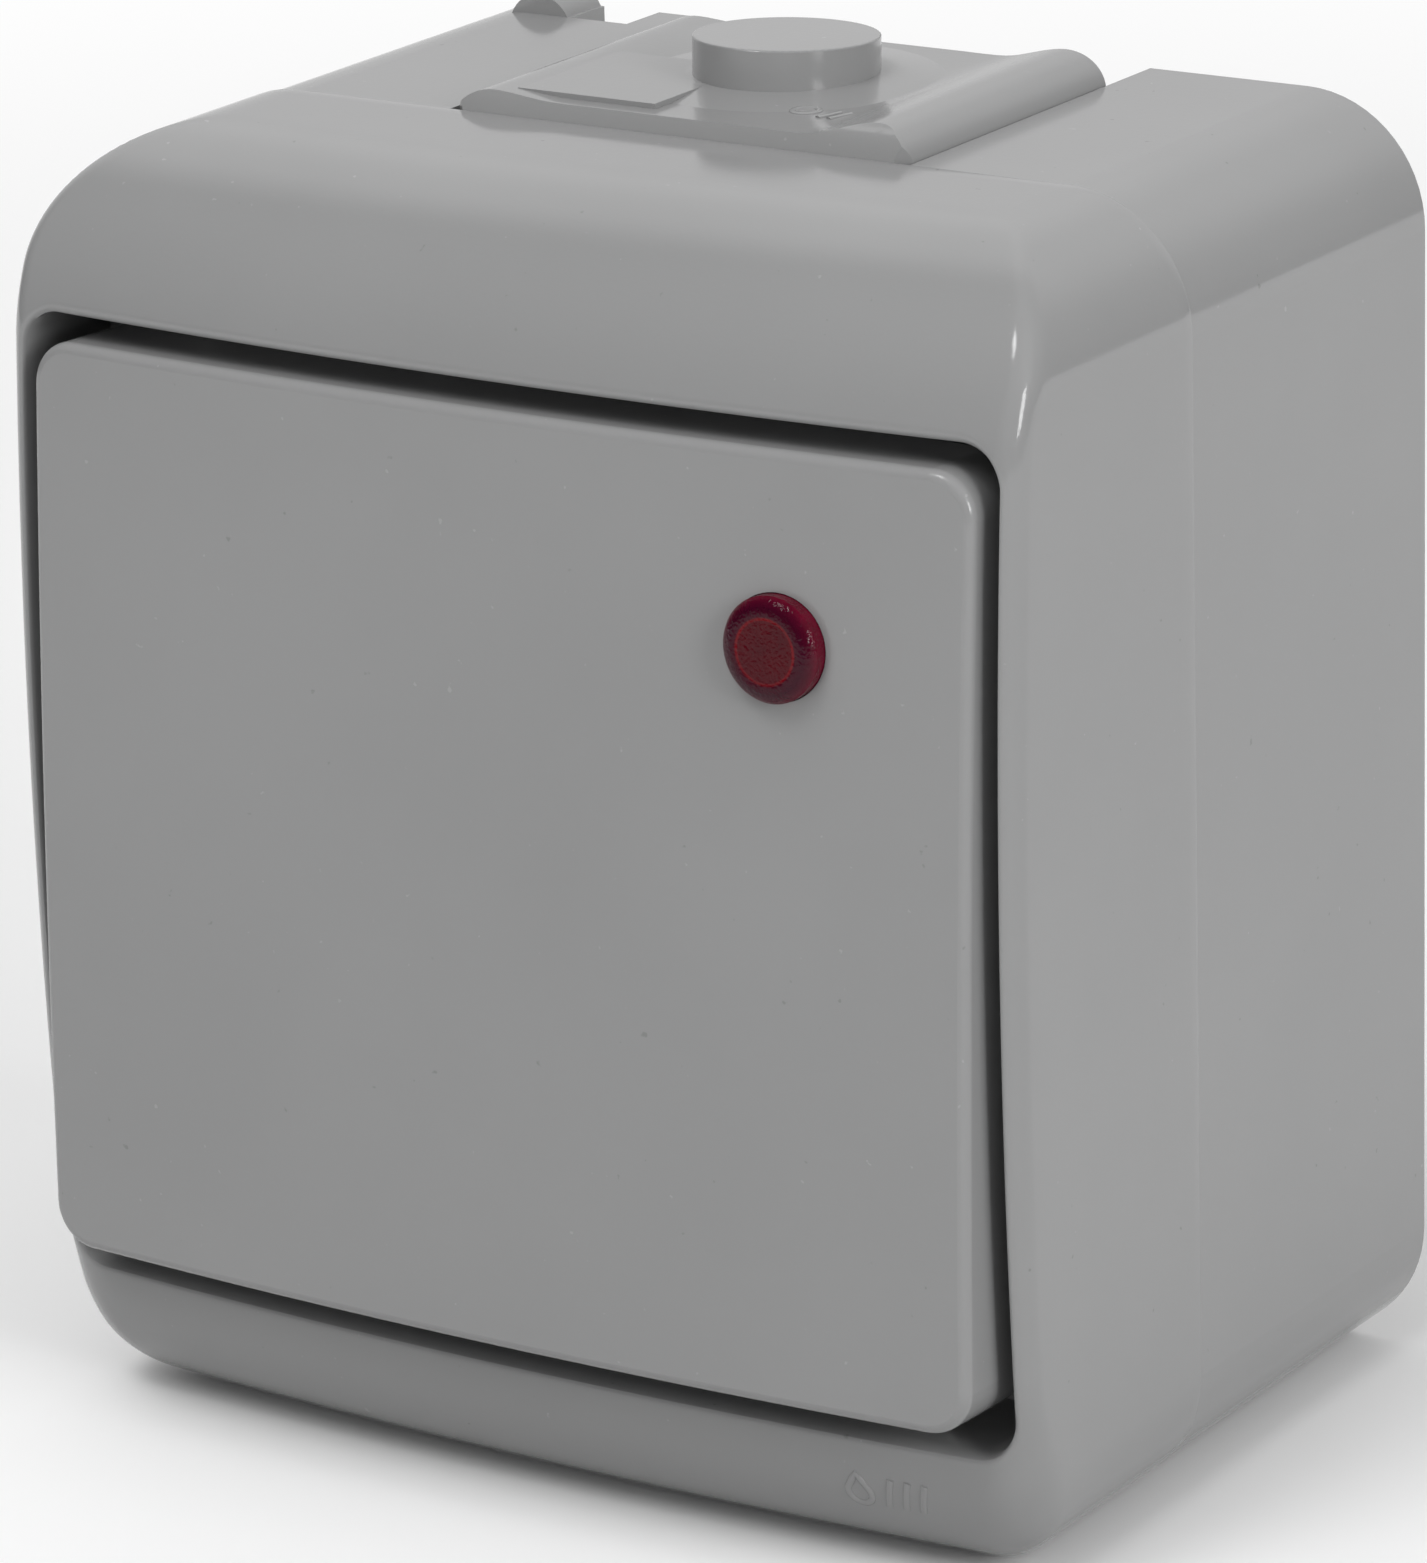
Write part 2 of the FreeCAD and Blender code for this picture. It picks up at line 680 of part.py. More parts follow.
def rocker_button():
    """Hollow rocker with snap legs, ribs and a collar for the lens."""
    face_y = front_y - rocker_proud
    skirt_end = face_y + rocker_skirt
    outer = rocker_solid(0.0, skirt_end)
    rim = [e for e in outer.Edges if e.BoundBox.YMax < skirt_end - rocker_skirt / 3 and not along_y(e)]
    outer = outer.makeFillet(rocker_edge_round, rim)
    body = outer.cut(rocker_solid(rocker_wall, skirt_end + beyond))
    inner_face = face_y + rocker_wall
    plate_front = pivot_y - carrier_plate_front
    plate_back = plate_front + carrier_plate_thickness
    plate_half = carrier_plate_height / 2
    leg_inner = plate_half + leg_clearance
    rib = rib_thickness / 2
    extras = []
    for side in (-1, 1):
        hook_back = plate_back + hook_thickness
        leg = box(-leg_width / 2, leg_width / 2, inner_face, hook_back, leg_inner, leg_inner + leg_thickness)
        hook_inner = leg_inner - hook_depth
        hook = box(-leg_width / 2, leg_width / 2, plate_back, hook_back, hook_inner, leg_inner + touch)
        pair = leg.fuse(hook)
        extras.append(pair if side > 0 else pair.mirror(Vector(0, 0, 0), Vector(0, 0, 1)))
        x = side * carrier_plate_width / 4
        extras.append(box(x - rib, x + rib, inner_face, plate_front, -plate_half, plate_half))
    rib_reach = rocker_width / 2 - rocker_wall
    for z in (-rocker_height / 4, rocker_height / 4):
        extras.append(box(-rib_reach, rib_reach, inner_face, inner_face + rib_height, z - rib, z + rib))
    collar_end = inner_face + lens_collar_length
    collar_radius = lens_radius + lens_collar_wall
    extras.append(rod_y(lens_x, lens_z, collar_radius, face_y + rocker_wall / 2, collar_end))
    inside = rocker_solid(rocker_wall / 2, skirt_end + beyond)
    body = fuse_all([body] + [extra.common(inside) for extra in extras])
    return body.cut(rod_y(lens_x, lens_z, lens_radius + lens_fit, face_y - beyond, collar_end + beyond))


def lens_face():
    """Rocker's face at the lens."""
    sag = lens_x ** 2 / (2 * rocker_plan_radius) + lens_z ** 2 / (2 * rocker_upright_radius)
    return front_y - rocker_proud + sag


def indicator_lens():
    """Round lens with a flat crown, a rolled shoulder and a blind bore for the lamp's light."""
    face = lens_face()
    head = face - lens_proud
    back = head + lens_length
    shoulder = lens_radius - lens_flat_radius
    half = math.sqrt(0.5)
    fall_back = lens_proud - lens_upright_rim
    start = Vector(lens_flat_radius, head, 0)
    middle = Vector(lens_flat_radius + shoulder * half, head + fall_back * (1 - half), 0)
    end = Vector(lens_radius, head + fall_back, 0)
    corners = [end, Vector(lens_radius, back, 0), Vector(0, back, 0), Vector(0, head, 0), start]
    edges = [Part.Arc(start, middle, end).toShape()]
    edges = edges + [Part.makeLine(a, b) for a, b in zip(corners[:-1], corners[1:])]
    body = Part.Face(Part.Wire(edges)).revolve(Vector(0, 0, 0), Vector(0, 1, 0), 360)
    body.translate(Vector(lens_x, 0, lens_z))
    return body.cut(rod_y(lens_x, lens_z, lens_bore_radius, head + lens_cap, back + beyond))


def rocker_carrier():
    """Carrier that the rocker snaps onto, with trunnions and a bored stem."""
    plate_front = pivot_y - carrier_plate_front
    plate_back = plate_front + carrier_plate_thickness
    half_x, half_z = carrier_plate_width / 2, carrier_plate_height / 2
    plate = box(-half_x, half_x, plate_front, plate_back, -half_z, half_z)
    rib = trunnion_rib / 2
    web = box(-half_x, half_x, plate_back - touch, pivot_y + rib, -rib, rib)
    trunnions = rod_x(pivot_y, 0, trunnion_radius, -trunnion_length / 2, trunnion_length / 2)
    stem = rod_y(0, 0, stem_radius, plate_back - touch, pivot_y + stem_length)
    body = fuse_all([plate, web, trunnions, stem])
    return body.cut(rod_y(0, 0, stem_bore_radius, plate_front + bore_roof, pivot_y + stem_length + beyond))


def tip_reach():
    """Pivot to the centre of the plunger's round tip."""
    return pivot_spacing - lever_rise - tip_radius - tip_gap


def plunger_head_end():
    """Open end of the plunger's head, just inside the stem."""
    return pivot_y + stem_length - plunger_inset


def spring_plunger():
    """Plunger whose round tip presses on the lever."""
    head_end = plunger_head_end()
    head = rod_y(0, 0, plunger_radius, head_end - plunger_head, head_end)
    tip_y = pivot_y + tip_reach()
    neck = rod_y(0, 0, tip_radius, head_end - touch, tip_y)
    tip = Part.makeSphere(tip_radius, Vector(0, tip_y, 0))
    return fuse_all([head, neck, tip])


def toggle_spring():
    """Helical spring between the bore's roof and the plunger's head."""
    start = pivot_y - carrier_plate_front + bore_roof
    end = plunger_head_end() - plunger_head
    length = end - start - 2 * (spring_wire_radius + touch)
    helix = Part.makeHelix(length / spring_turns, length, spring_coil_radius)
    circle = Part.makeCircle(spring_wire_radius, Vector(spring_coil_radius, 0, 0), Vector(0, 1, 0))
    coil = Part.Wire(helix.Edges).makePipeShell([Part.Wire(circle)], True, True)
    coil.rotate(Vector(0, 0, 0), Vector(1, 0, 0), -90)
    coil.translate(Vector(0, start + spring_wire_radius + touch, 0))
    return coil


def contact_lever():
    """Bent brass lever with two notched cheeks that rock on the common terminal's bar."""
    front = lever_y - lever_rise
    back = front + lever_thickness
    plate = box(-lever_width / 2, lever_width / 2, front, back, -lever_length / 2, lever_length / 2)
    parts = [plate]
    for side in (-1, 1):
        outer = side * lever_width / 2
        inner = outer - side * cheek_thickness
        parts.append(box(min(outer, inner), max(outer, inner), back - touch, lever_y + cheek_depth,
                         -cheek_length / 2, cheek_length / 2))
    notch_radius = bar_radius + pivot_clearance
    notch = rod_x(lever_y, 0, notch_radius, -lever_width, lever_width)
    mouth_end = lever_y + cheek_depth + beyond
    mouth = box(-lever_width, lever_width, lever_y, mouth_end, -notch_radius, notch_radius)
    return fuse_all(parts).cut(notch).cut(mouth)


def moving_contacts():
    """Two silver contacts on the back of the lever."""
    start = lever_y - lever_rise + lever_thickness
    end = start + contact_height
    return Part.makeCompound([rod_y(0, side * contact_arm, contact_radius, start, end) for side in (-1, 1)])


def fixed_contact_start():
    """Front of the fixed contacts before they are set square to the lever."""
    return lever_y - lever_rise + lever_thickness + contact_height + contact_gap


def fixed_contacts():
    """Two silver contacts on the switched strips, square to the lever when closed."""
    start = fixed_contact_start()
    contacts = []
    for side in (-1, 1):
        contact = rod_y(0, side * contact_arm, contact_radius, start, start + contact_height)
        contacts.append(tilt_about(contact, lever_y, 0, -side * lever_half_tilt))
    return Part.makeCompound(contacts)


def switched_strip(side):
    """Brass strip from a fixed contact to its terminal cage; side is 1 for the upper one."""
    half = strip_width / 2
    post_far = chamber_half_height - strip_slot_clearance
    post_near = post_far - strip_thickness
    end = cage_z + cage_height / 2
    pad_start = fixed_contact_start() + contact_height
    pad_near = contact_arm - contact_radius - strip_thickness / 2
    pad = box(-half, half, pad_start, pad_start + strip_thickness, pad_near, post_far)
    pad = tilt_about(pad, lever_y, 0, -lever_half_tilt)
    rise = math.sin(math.radians(lever_half_tilt)) * post_far
    post_shift = strip_thickness / 8
    post_start = pad_start + rise + strip_thickness / 2
    post = box(-half, half, post_start, tray_floor, post_near - post_shift, post_far - post_shift)
    foot = box(-half, half, strip_front, tray_floor, post_near - post_shift, end)
    parts = [pad, post, foot]
    if side > 0:
        tab = tab_width / 2
        parts.append(box(0, lamp_x + lead_spacing / 2, strip_front, tray_floor, lamp_z - tab, lamp_z + tab))
    strip = fuse_all(parts)
    return strip if side > 0 else strip.mirror(Vector(0, 0, 0), Vector(0, 0, 1))


def common_strip():
    """Brass strip that carries the lever, with tabs to its cage and to the lamp's lead."""
    half = strip_width / 2
    post_x, post_z = common_post_width / 2, common_post_thickness / 2
    post = box(-post_x, post_x, lever_y, tray_floor, -post_z, post_z)
    bar_reach = lever_width / 2 + bar_overhang
    bar = rod_x(lever_y, 0, bar_radius, -bar_reach, bar_reach)
    lead_x = lamp_x + lead_spacing / 2
    tab_half = tab_width / 2
    foot = box(-half, lead_x + tab_half, strip_front, tray_floor, -half / 2, half / 2)
    branch = box(cage_x - half, cage_x + half, strip_front, tray_floor, -cage_z - cage_height / 2, half / 2)
    tab_front = strip_front - resistor_above_strip - tab_overhang
    thick = strip_thickness / 2
    tab = box(lead_x - tab_half, lead_x + tab_half, tab_front, tray_floor, -thick, thick)
    return fuse_all([post, bar, foot, branch, tab])


def cage_places():
    """X of each terminal cage, and 1 or -1 for the upper or lower row."""
    return [(0, 1), (0, -1), (cage_x, -1), (-cage_x, -1)]


def terminal_cages():
    """Four brass cages, each bored for a wire and for its screw."""
    cages = []
    for x, side in cage_places():
        z = side * cage_z
        half_x, half_z = cage_width / 2, cage_height / 2
        cage = box(x - half_x, x + half_x, cage_front, strip_front, z - half_z, z + half_z)
        cage = cage.cut(rod_z(x, wire_y, wire_hole_radius, z - cage_height, z + cage_height))
        cages.append(cage.cut(rod_y(x, z, screw_shank_radius, cage_front - beyond, wire_y)))
    return Part.makeCompound(cages)


def screw(x, z, seat_y, reach, head_radius, slot_degrees):
    """Slotted screw pointing into the wall, its head's underside at seat_y."""
    head = rod_y(x, z, head_radius, seat_y - screw_head_height, seat_y)
    top = seat_y - screw_head_height
    head = head.makeFillet(screw_edge_round, [e for e in head.Edges if e.BoundBox.YMax < top + touch])
    reach_x, half_slot = head_radius + beyond, screw_slot_width / 2
    slot = box(x - reach_x, x + reach_x, top - beyond, top + screw_slot_depth, z - half_slot, z + half_slot)
    slot.rotate(Vector(x, 0, z), Vector(0, 1, 0), slot_degrees)
    shank = rod_y(x, z, screw_shank_radius, seat_y - touch, seat_y + reach)
    return fuse_all([head.cut(slot), shank])


def terminal_screws():
    """Four clamping screws, one in each cage."""
    seat = cage_front - terminal_screw_gap
    reach = terminal_screw_gap + terminal_screw_reach
    screws = []
    for turn, (x, side) in zip(terminal_screw_turns, cage_places()):
        screws.append(screw(x, side * cage_z, seat, reach, terminal_screw_head_radius, turn))
    return Part.makeCompound(screws)


def mechanism_screw_places():
    """Upper left and lower right corner of the tray."""
    return [(-mechanism_screw_x, mechanism_screw_z), (mechanism_screw_x, -mechanism_screw_z)]


def mechanism_screws():
    """Two screws through the lid and the tray into the box's pillars."""
    reach = tray_back - lid_front + mechanism_screw_reach
    screws = []
    for x, z in mechanism_screw_places():
        screws.append(screw(x, z, lid_front, reach, screw_head_radius, mechanism_screw_turn))
    return Part.makeCompound(screws)


def cover_screws():
    """Two screws through the well's floor into the box's pillars."""
    reach = well_back - well_front + cover_screw_reach
    screws = []
    for side in (-1, 1):
        x, z = side * cover_screw_x, -side * cover_screw_z
        screws.append(screw(x, z, well_front, reach, screw_head_radius, cover_screw_turn))
    return Part.makeCompound(screws)


def mechanism_base():
    """Moulded tray that holds the contact chamber, strips and terminal cages."""
    half_x, half_z = tray_width / 2, tray_height / 2
    outer = box(-half_x, half_x, tray_front, tray_back, -half_z, half_z)
    inner_x, inner_z = half_x - tray_wall, half_z - tray_wall
    inner = box(-inner_x, inner_x, tray_front - beyond, tray_floor, -inner_z, inner_z)
    room_x, room_z = chamber_half_width, chamber_half_height
    chamber_x, chamber_z = room_x + chamber_wall, room_z + chamber_wall
    chamber = box(-chamber_x, chamber_x, tray_front, tray_floor + touch, -chamber_z, chamber_z)
    chamber = chamber.cut(box(-room_x, room_x, tray_front - beyond, tray_back, -room_z, room_z))
    posts = []
    for x, z in mechanism_screw_places():
        posts.append(rod_y(x, z, standoff_radius, tray_front, tray_floor + touch).common(outer))
    rest_x, rest_z = cage_width / 2, cage_height / 2
    rest = box(
        -cage_x - rest_x, -cage_x + rest_x, strip_front, tray_floor + touch,
        -cage_z - rest_z, -cage_z + rest_z)
    body = fuse_all([outer.cut(inner), chamber, rest] + posts)
    gap = strip_slot_clearance
    slot_half = strip_width / 2 + gap
    slots = []
    for side in (-1, 1):
        z0, z1 = sorted((side * (room_z - beyond), side * (chamber_z + gap / 2)))
        slots.append(box(-slot_half, slot_half, strip_front - gap, tray_floor, z0, z1))
    narrow_half = strip_width / 4 + gap
    right_end = chamber_x + gap / 2
    slots.append(box(room_x - beyond, right_end, strip_front - gap, tray_floor, -narrow_half, narrow_half))
    for x, side in cage_places():
        z0, z1 = sorted((side * (inner_z - tray_wall / 3), side * (half_z + beyond)))
        slots.append(rod_z(x, wire_y, wire_hole_radius + wire_entry_clearance, z0, z1))
    for x, z in mechanism_screw_places():
        slots.append(rod_y(x, z, screw_clearance_radius, tray_front - beyond, tray_back + beyond))
    return body.cut(Part.makeCompound(slots))


def mechanism_frame():
    """Lid of the tray with the collar for the seal and the rocker's bearing cheeks."""
    half_x, half_z = tray_width / 2, tray_height / 2
    plate = box(-half_x, half_x, lid_front, tray_front, -half_z, half_z)
    parts = [plate, collar_ring(collar_front, lid_front + touch)]
    inner = carrier_plate_width / 2 + bearing_cheek_gap
    cheek_front = pivot_y - bearing_cheek_beyond
    cheek_half = bearing_cheek_height / 2
    for side in (-1, 1):
        x0, x1 = sorted((side * inner, side * (inner + bearing_cheek_thickness)))
        cheek = box(x0, x1, cheek_front, lid_front + touch, -cheek_half, cheek_half)
        front_face = [e for e in cheek.Edges if e.BoundBox.YMax < cheek_front + touch]
        across = [e for e in front_face if e.BoundBox.XLength > bearing_cheek_thickness / 2]
        parts.append(cheek.makeFillet(bearing_cheek_round, across))
    body = fuse_all(parts)
    through = (lid_front - beyond, tray_front + beyond)
    holes = [rod_x(pivot_y, 0, trunnion_radius + pivot_clearance, -half_x, half_x)]
    holes.append(rod_y(0, 0, stem_hole_radius, *through))
    driver_hole = terminal_screw_head_radius + terminal_screw_hole_clearance
    for x, side in cage_places():
        holes.append(rod_y(x, side * cage_z, driver_hole, *through))
    for x, z in mechanism_screw_places():
        holes.append(rod_y(x, z, screw_clearance_radius, *through))
    for side in (-1, 1):
        x = lamp_x + side * lead_spacing / 2
        holes.append(rod_y(x, lamp_z, lead_radius + lead_hole_clearance, *through))
    return body.cut(Part.makeCompound(holes))


def collar_ring(y0, y1):
    """Rounded square ring as wide as the lid's collar."""
    half_z = collar_height / 2
    return rounded_ring(collar_width / 2, -half_z, half_z, collar_corner, collar_wall, y0, y1)


def mechanism_seal():
    """Rubber ring between the collar and the well's floor."""
    return collar_ring(well_back, collar_front)


def holder_mouth():
    """Front end of the lamp's tube."""
    return front_y + holder_front


def lamp_holder():
    """Tube that carries the glow lamp behind the lens."""
    half = holder_flange / 2
    base = lid_front - holder_floor
    flange = box(lamp_x - half, lamp_x + half, base, lid_front, lamp_z - half, lamp_z + half)
    tube = rod_y(lamp_x, lamp_z, holder_radius, holder_mouth(), lid_front)
    body = fuse_all([flange, tube])
    body = body.cut(rod_y(lamp_x, lamp_z, holder_bore_radius, holder_mouth() - beyond, base))
    for side in (-1, 1):
        x = lamp_x + side * lead_spacing / 2
        hole_radius = lead_radius + lead_hole_clearance / 2
        body = body.cut(rod_y(x, lamp_z, hole_radius, base - beyond, lid_front + beyond))
    return body


def glow_lamp():
    """Glass glow lamp, round at its front."""
    base = lid_front - holder_floor
    tip = holder_mouth() + lamp_inset + lamp_radius
    bulb = rod_y(lamp_x, lamp_z, lamp_radius, tip, base)
    return fuse_all([bulb, Part.makeSphere(lamp_radius, Vector(lamp_x, tip, lamp_z))])


def lead_y():
    """Depth at which the lamp's lead runs down to the resistor."""
    return strip_front - resistor_above_strip


def lamp_leads():
    """Two bare wires: one to the upper strip, one through the resistor to the common strip."""
    base = lid_front - holder_floor
    left, right = lamp_x - lead_spacing / 2, lamp_x + lead_spacing / 2
    straight = rod_y(left, lamp_z, lead_radius, base, strip_front)
    bend = Part.makeSphere(lead_radius, Vector(right, lead_y(), lamp_z))
    down = fuse_all([rod_y(right, lamp_z, lead_radius, base, lead_y()), bend,
                     rod_z(right, lead_y(), lead_radius, resistor_top, lamp_z)])
    last = rod_z(right, lead_y(), lead_radius, strip_thickness / 2, resistor_top - resistor_length)
    return Part.makeCompound([straight, down, last])


def lamp_resistor():
    """Small axial resistor in the lamp's lead."""
    right = lamp_x + lead_spacing / 2
    body = rod_z(right, lead_y(), resistor_radius, resistor_top - resistor_length, resistor_top)
    rims = [e for e in body.Edges if e.Curve.TypeId == "Part::GeomCircle"]
    return body.makeFillet(resistor_edge_round, rims)


def at_rest(shape):
    """Rocker's pieces at rest: upper end pressed in."""
    return tilt_about(lift(shape), pivot_y, pivot_z, -rocker_half_tilt)


def lever_at_rest(shape):
    """Lever's pieces at rest: lower contact closed."""
    return tilt_about(lift(shape), lever_y, pivot_z, lever_half_tilt)


pieces = {
    "back_box": back_box(),
    "front_cover": front_cover(),
    "cable_grommet": cable_grommet(),
    "cover_gasket": gasket_ring(),
    "mechanism_seal": lift(mechanism_seal()),
    "mechanism_base": lift(mechanism_base()),
    "mechanism_frame": lift(mechanism_frame()),
    "rocker_button": at_rest(rocker_button()),
    "indicator_lens": at_rest(indicator_lens()),
    "rocker_carrier": at_rest(rocker_carrier()),
    "spring_plunger": at_rest(spring_plunger()),
    "toggle_spring": at_rest(toggle_spring()),
    "contact_lever": lever_at_rest(contact_lever()),
    "moving_contacts": lever_at_rest(moving_contacts()),
    "common_strip": lift(common_strip()),
    "upper_strip": lift(switched_strip(1)),
    "lower_strip": lift(switched_strip(-1)),
    "fixed_contacts": lift(fixed_contacts()),
    "terminal_cages": lift(terminal_cages()),
    "terminal_screws": lift(terminal_screws()),
    "lamp_holder": lift(lamp_holder()),
    "glow_lamp": lift(glow_lamp()),
    "lamp_resistor": lift(lamp_resistor()),
    "lamp_leads": lift(lamp_leads()),
    "cover_screws": lift(cover_screws()),
    "mechanism_screws": lift(mechanism_screws()),
}

os.makedirs("parts", exist_ok=True)
for name, shape in pieces.items():
    shape.exportStep("parts/" + name + ".step")
    extent = shape.BoundBox
    limits = [extent.XMin, extent.XMax, extent.YMin, extent.YMax, extent.ZMin, extent.ZMax]
    print(name, len(shape.Solids), shape.isValid(), round(shape.Volume, 2), [round(v, 2) for v in limits])
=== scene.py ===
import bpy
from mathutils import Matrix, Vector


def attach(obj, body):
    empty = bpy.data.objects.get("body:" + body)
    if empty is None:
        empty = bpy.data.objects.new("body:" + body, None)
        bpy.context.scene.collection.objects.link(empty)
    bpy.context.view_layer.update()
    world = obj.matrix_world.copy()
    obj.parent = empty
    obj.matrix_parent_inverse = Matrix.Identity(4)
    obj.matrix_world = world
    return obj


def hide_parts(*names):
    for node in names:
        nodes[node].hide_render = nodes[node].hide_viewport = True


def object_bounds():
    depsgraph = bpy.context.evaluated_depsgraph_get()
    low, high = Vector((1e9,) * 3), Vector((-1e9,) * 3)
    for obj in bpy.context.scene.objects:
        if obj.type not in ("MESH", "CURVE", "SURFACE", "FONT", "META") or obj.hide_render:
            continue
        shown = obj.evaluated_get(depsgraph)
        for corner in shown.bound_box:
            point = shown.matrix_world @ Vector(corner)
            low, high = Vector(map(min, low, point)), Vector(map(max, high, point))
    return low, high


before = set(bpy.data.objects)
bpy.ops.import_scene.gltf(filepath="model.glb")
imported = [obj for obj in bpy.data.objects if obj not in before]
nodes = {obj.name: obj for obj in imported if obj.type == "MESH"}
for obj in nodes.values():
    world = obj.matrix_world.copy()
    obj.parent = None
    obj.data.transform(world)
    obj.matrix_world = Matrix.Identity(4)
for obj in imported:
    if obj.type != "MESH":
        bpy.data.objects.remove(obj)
cad_box = [list(corner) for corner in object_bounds()]

import math

import bmesh
import bpy
import numpy as np
from mathutils import Matrix, Vector
from mathutils.geometry import delaunay_2d_cdt

# Surface-mounted weatherproof switch. Metres, same frame as the solids: X right, Y into the wall, Z up.
mm = 0.001

# Cover, in millimetres
half_width = round(cad_box[1][0] / mm, 2)
half_height = round(-cad_box[0][2] / mm, 2)
front_y = -47.5
seam_y = -26.5
corner_radius = 7.5
plan_radius = 346.8           # bulge of the front from side to side
upright_radius = 394.0        # and from top to bottom
top_roll = 12.0
bottom_roll = 8.6
crease_round = 1.6            # between the front and the sides
lower_crease_round = 4.0      # at the two lower corners
lower_round_start = 24.0      # below the middle
lower_round_run = 9.0
seam_round = 0.18
window_half_width = 31.8
window_half_height = 28.5
window_z = -0.3
window_corner = 2.4
window_round = 0.4
well_front = -37.0
well_back = -35.4
well_wall = 1.6               # above and below the window
opening_half_width = 11.8
opening_half_height = 12.6
opening_corner = 2.0
tongue_end = -24.0
tongue_outer = 1.95           # tongue from the cover's outside
tongue_inner = 3.15
tongue_root = -29.1           # where its inside turns towards the well
screw_hole = 1.75
screw_x = 22.0
screw_z = 24.6                # from the window's middle
lamp_hole = 3.65
lamp_x = 19.25
lamp_z = 15.9
back_inset = 0.05             # of the well's back from the line of its wall

# Moulded marks, in millimetres
bead_width = 0.42
bead_height = 0.10
drop_x = 21.9
drop_z = -32.1
drop_radius = 0.72
drop_round_below = 0.35
drop_tip_above = 1.0
drop_round_degrees = (35, -215)
drop_side_shares = (0.33, 0.66, 1.0)
bar_count = 3
bar_start = 1.9
bar_pitch = 1.05
bar_lean = 0.25
bar_half_height = 0.95
plate_level = 38.38           # top of the grommet's plate
plate_ring = (5.5, -21.4, 0.75)    # middle and radius
plate_dot = (9.6, -19.9, 0.22)
tick_places = (7.2, 7.9)
tick_y = -21.7
tick_lean = 0.25
tick_half_length = 0.8

# How finely the skin and the marks are divided
straight_steps = 74
corner_steps = 30
wall_rows = 8
wall_first_row = 0.1          # share of the wall's height
face_rows = 26
side_rows = 40
side_crowding = 1.8           # rows lie closer behind the front
seam_rows = 5
hole_steps = 40
opening_thinning = 4          # every fourth point of its ring
bead_sides = 12
drop_steps = 26
bar_steps = 9
plate_ring_steps = 32
tick_steps = 7
cover_sharp_degrees = 35
mark_sharp_degrees = 60


def rounded_rectangle(x, z, half_x, half_z, radius):
    """Distance to a rounded rectangle, negative inside it."""
    qx = np.abs(x) - half_x + radius
    qz = np.abs(z) - half_z + radius
    outside = np.hypot(np.maximum(qx, 0), np.maximum(qz, 0))
    return outside + np.minimum(np.maximum(qx, qz), 0) - radius


def dome(p):
    """Distance to the bulged front with its rolled upper and lower edges."""
    axis_y = front_y + plan_radius
    depth = axis_y - np.hypot(p[..., 0], p[..., 1] - axis_y)
    centre_y = front_y + upright_radius
    result = np.hypot(depth - centre_y, p[..., 2]) - upright_radius
    for sign, roll in ((1, top_roll), (-1, bottom_roll)):
        rise = sign * p[..., 2]
        roll_z = half_height - roll
        roll_y = centre_y - math.sqrt((upright_radius - roll) ** 2 - roll_z ** 2)
        beyond = roll_z * (depth - centre_y) - (roll_y - centre_y) * rise
        rolled = np.hypot(depth - roll_y, rise - roll_z) - roll
        rolled = np.where(depth > roll_y, rise - half_height, rolled)
        result = np.where(beyond > 0, rolled, result)
    return result


def outline(p):
    """Distance to the cover's four sides."""
    return rounded_rectangle(p[..., 0], p[..., 2], half_width, half_height, corner_radius)


def slope(distance, p, step=0.005):
    """Gradient of a distance function."""
    parts = []
    for axis in np.eye(3):
        parts.append((distance(p + axis * step) - distance(p - axis * step)) / (2 * step))
    return np.stack(parts, axis=-1)


def rounded_meeting(a, b, cosine, radius, least_square=1e-4, parallel=0.9999):
    """Distance to two surfaces whose common edge is rounded; cosine is that of their normals."""
    a = a + radius
    b = b + radius
    square = np.maximum(1 - cosine ** 2, least_square)
    edge = np.sqrt(np.maximum(a ** 2 + b ** 2 - 2 * a * b * cosine, 0) / square)
    between = (a > cosine * b) & (b > cosine * a) & (cosine < parallel)
    return np.where(between, edge, np.maximum(a, b)) - radius


def cover_distance(p, shortest=1e-6):
    """Distance to the cover's outside, its edges rounded, without the window."""
    first = slope(dome, p)
    second = slope(outline, p)
    lengths = np.linalg.norm(first, axis=-1) * np.linalg.norm(second, axis=-1)
    cosine = (first * second).sum(axis=-1) / np.maximum(lengths, shortest)
    share = np.clip((-p[..., 2] - lower_round_start) / lower_round_run, 0, 1)
    radius = crease_round + (lower_crease_round - crease_round) * share * share * (3 - 2 * share)
    return rounded_meeting(dome(p), outline(p), np.clip(cosine, -1, 1), radius)


def skin_distance(p):
    """Distance to the cover's outside with the window's rounded rim."""
    window = rounded_rectangle(
        p[..., 0], p[..., 2] - window_z, window_half_width, window_half_height, window_corner)
    return rounded_meeting(cover_distance(p), -window, 0.0, window_round)


def settle(distance, p, rounds=7, least_square=0.2):
    """Move points onto a surface along its gradient."""
    for _ in range(rounds):
        across = slope(distance, p)
        across /= np.maximum((across ** 2).sum(axis=-1, keepdims=True), least_square)
        p = p - across * distance(p)[..., None]
    return p


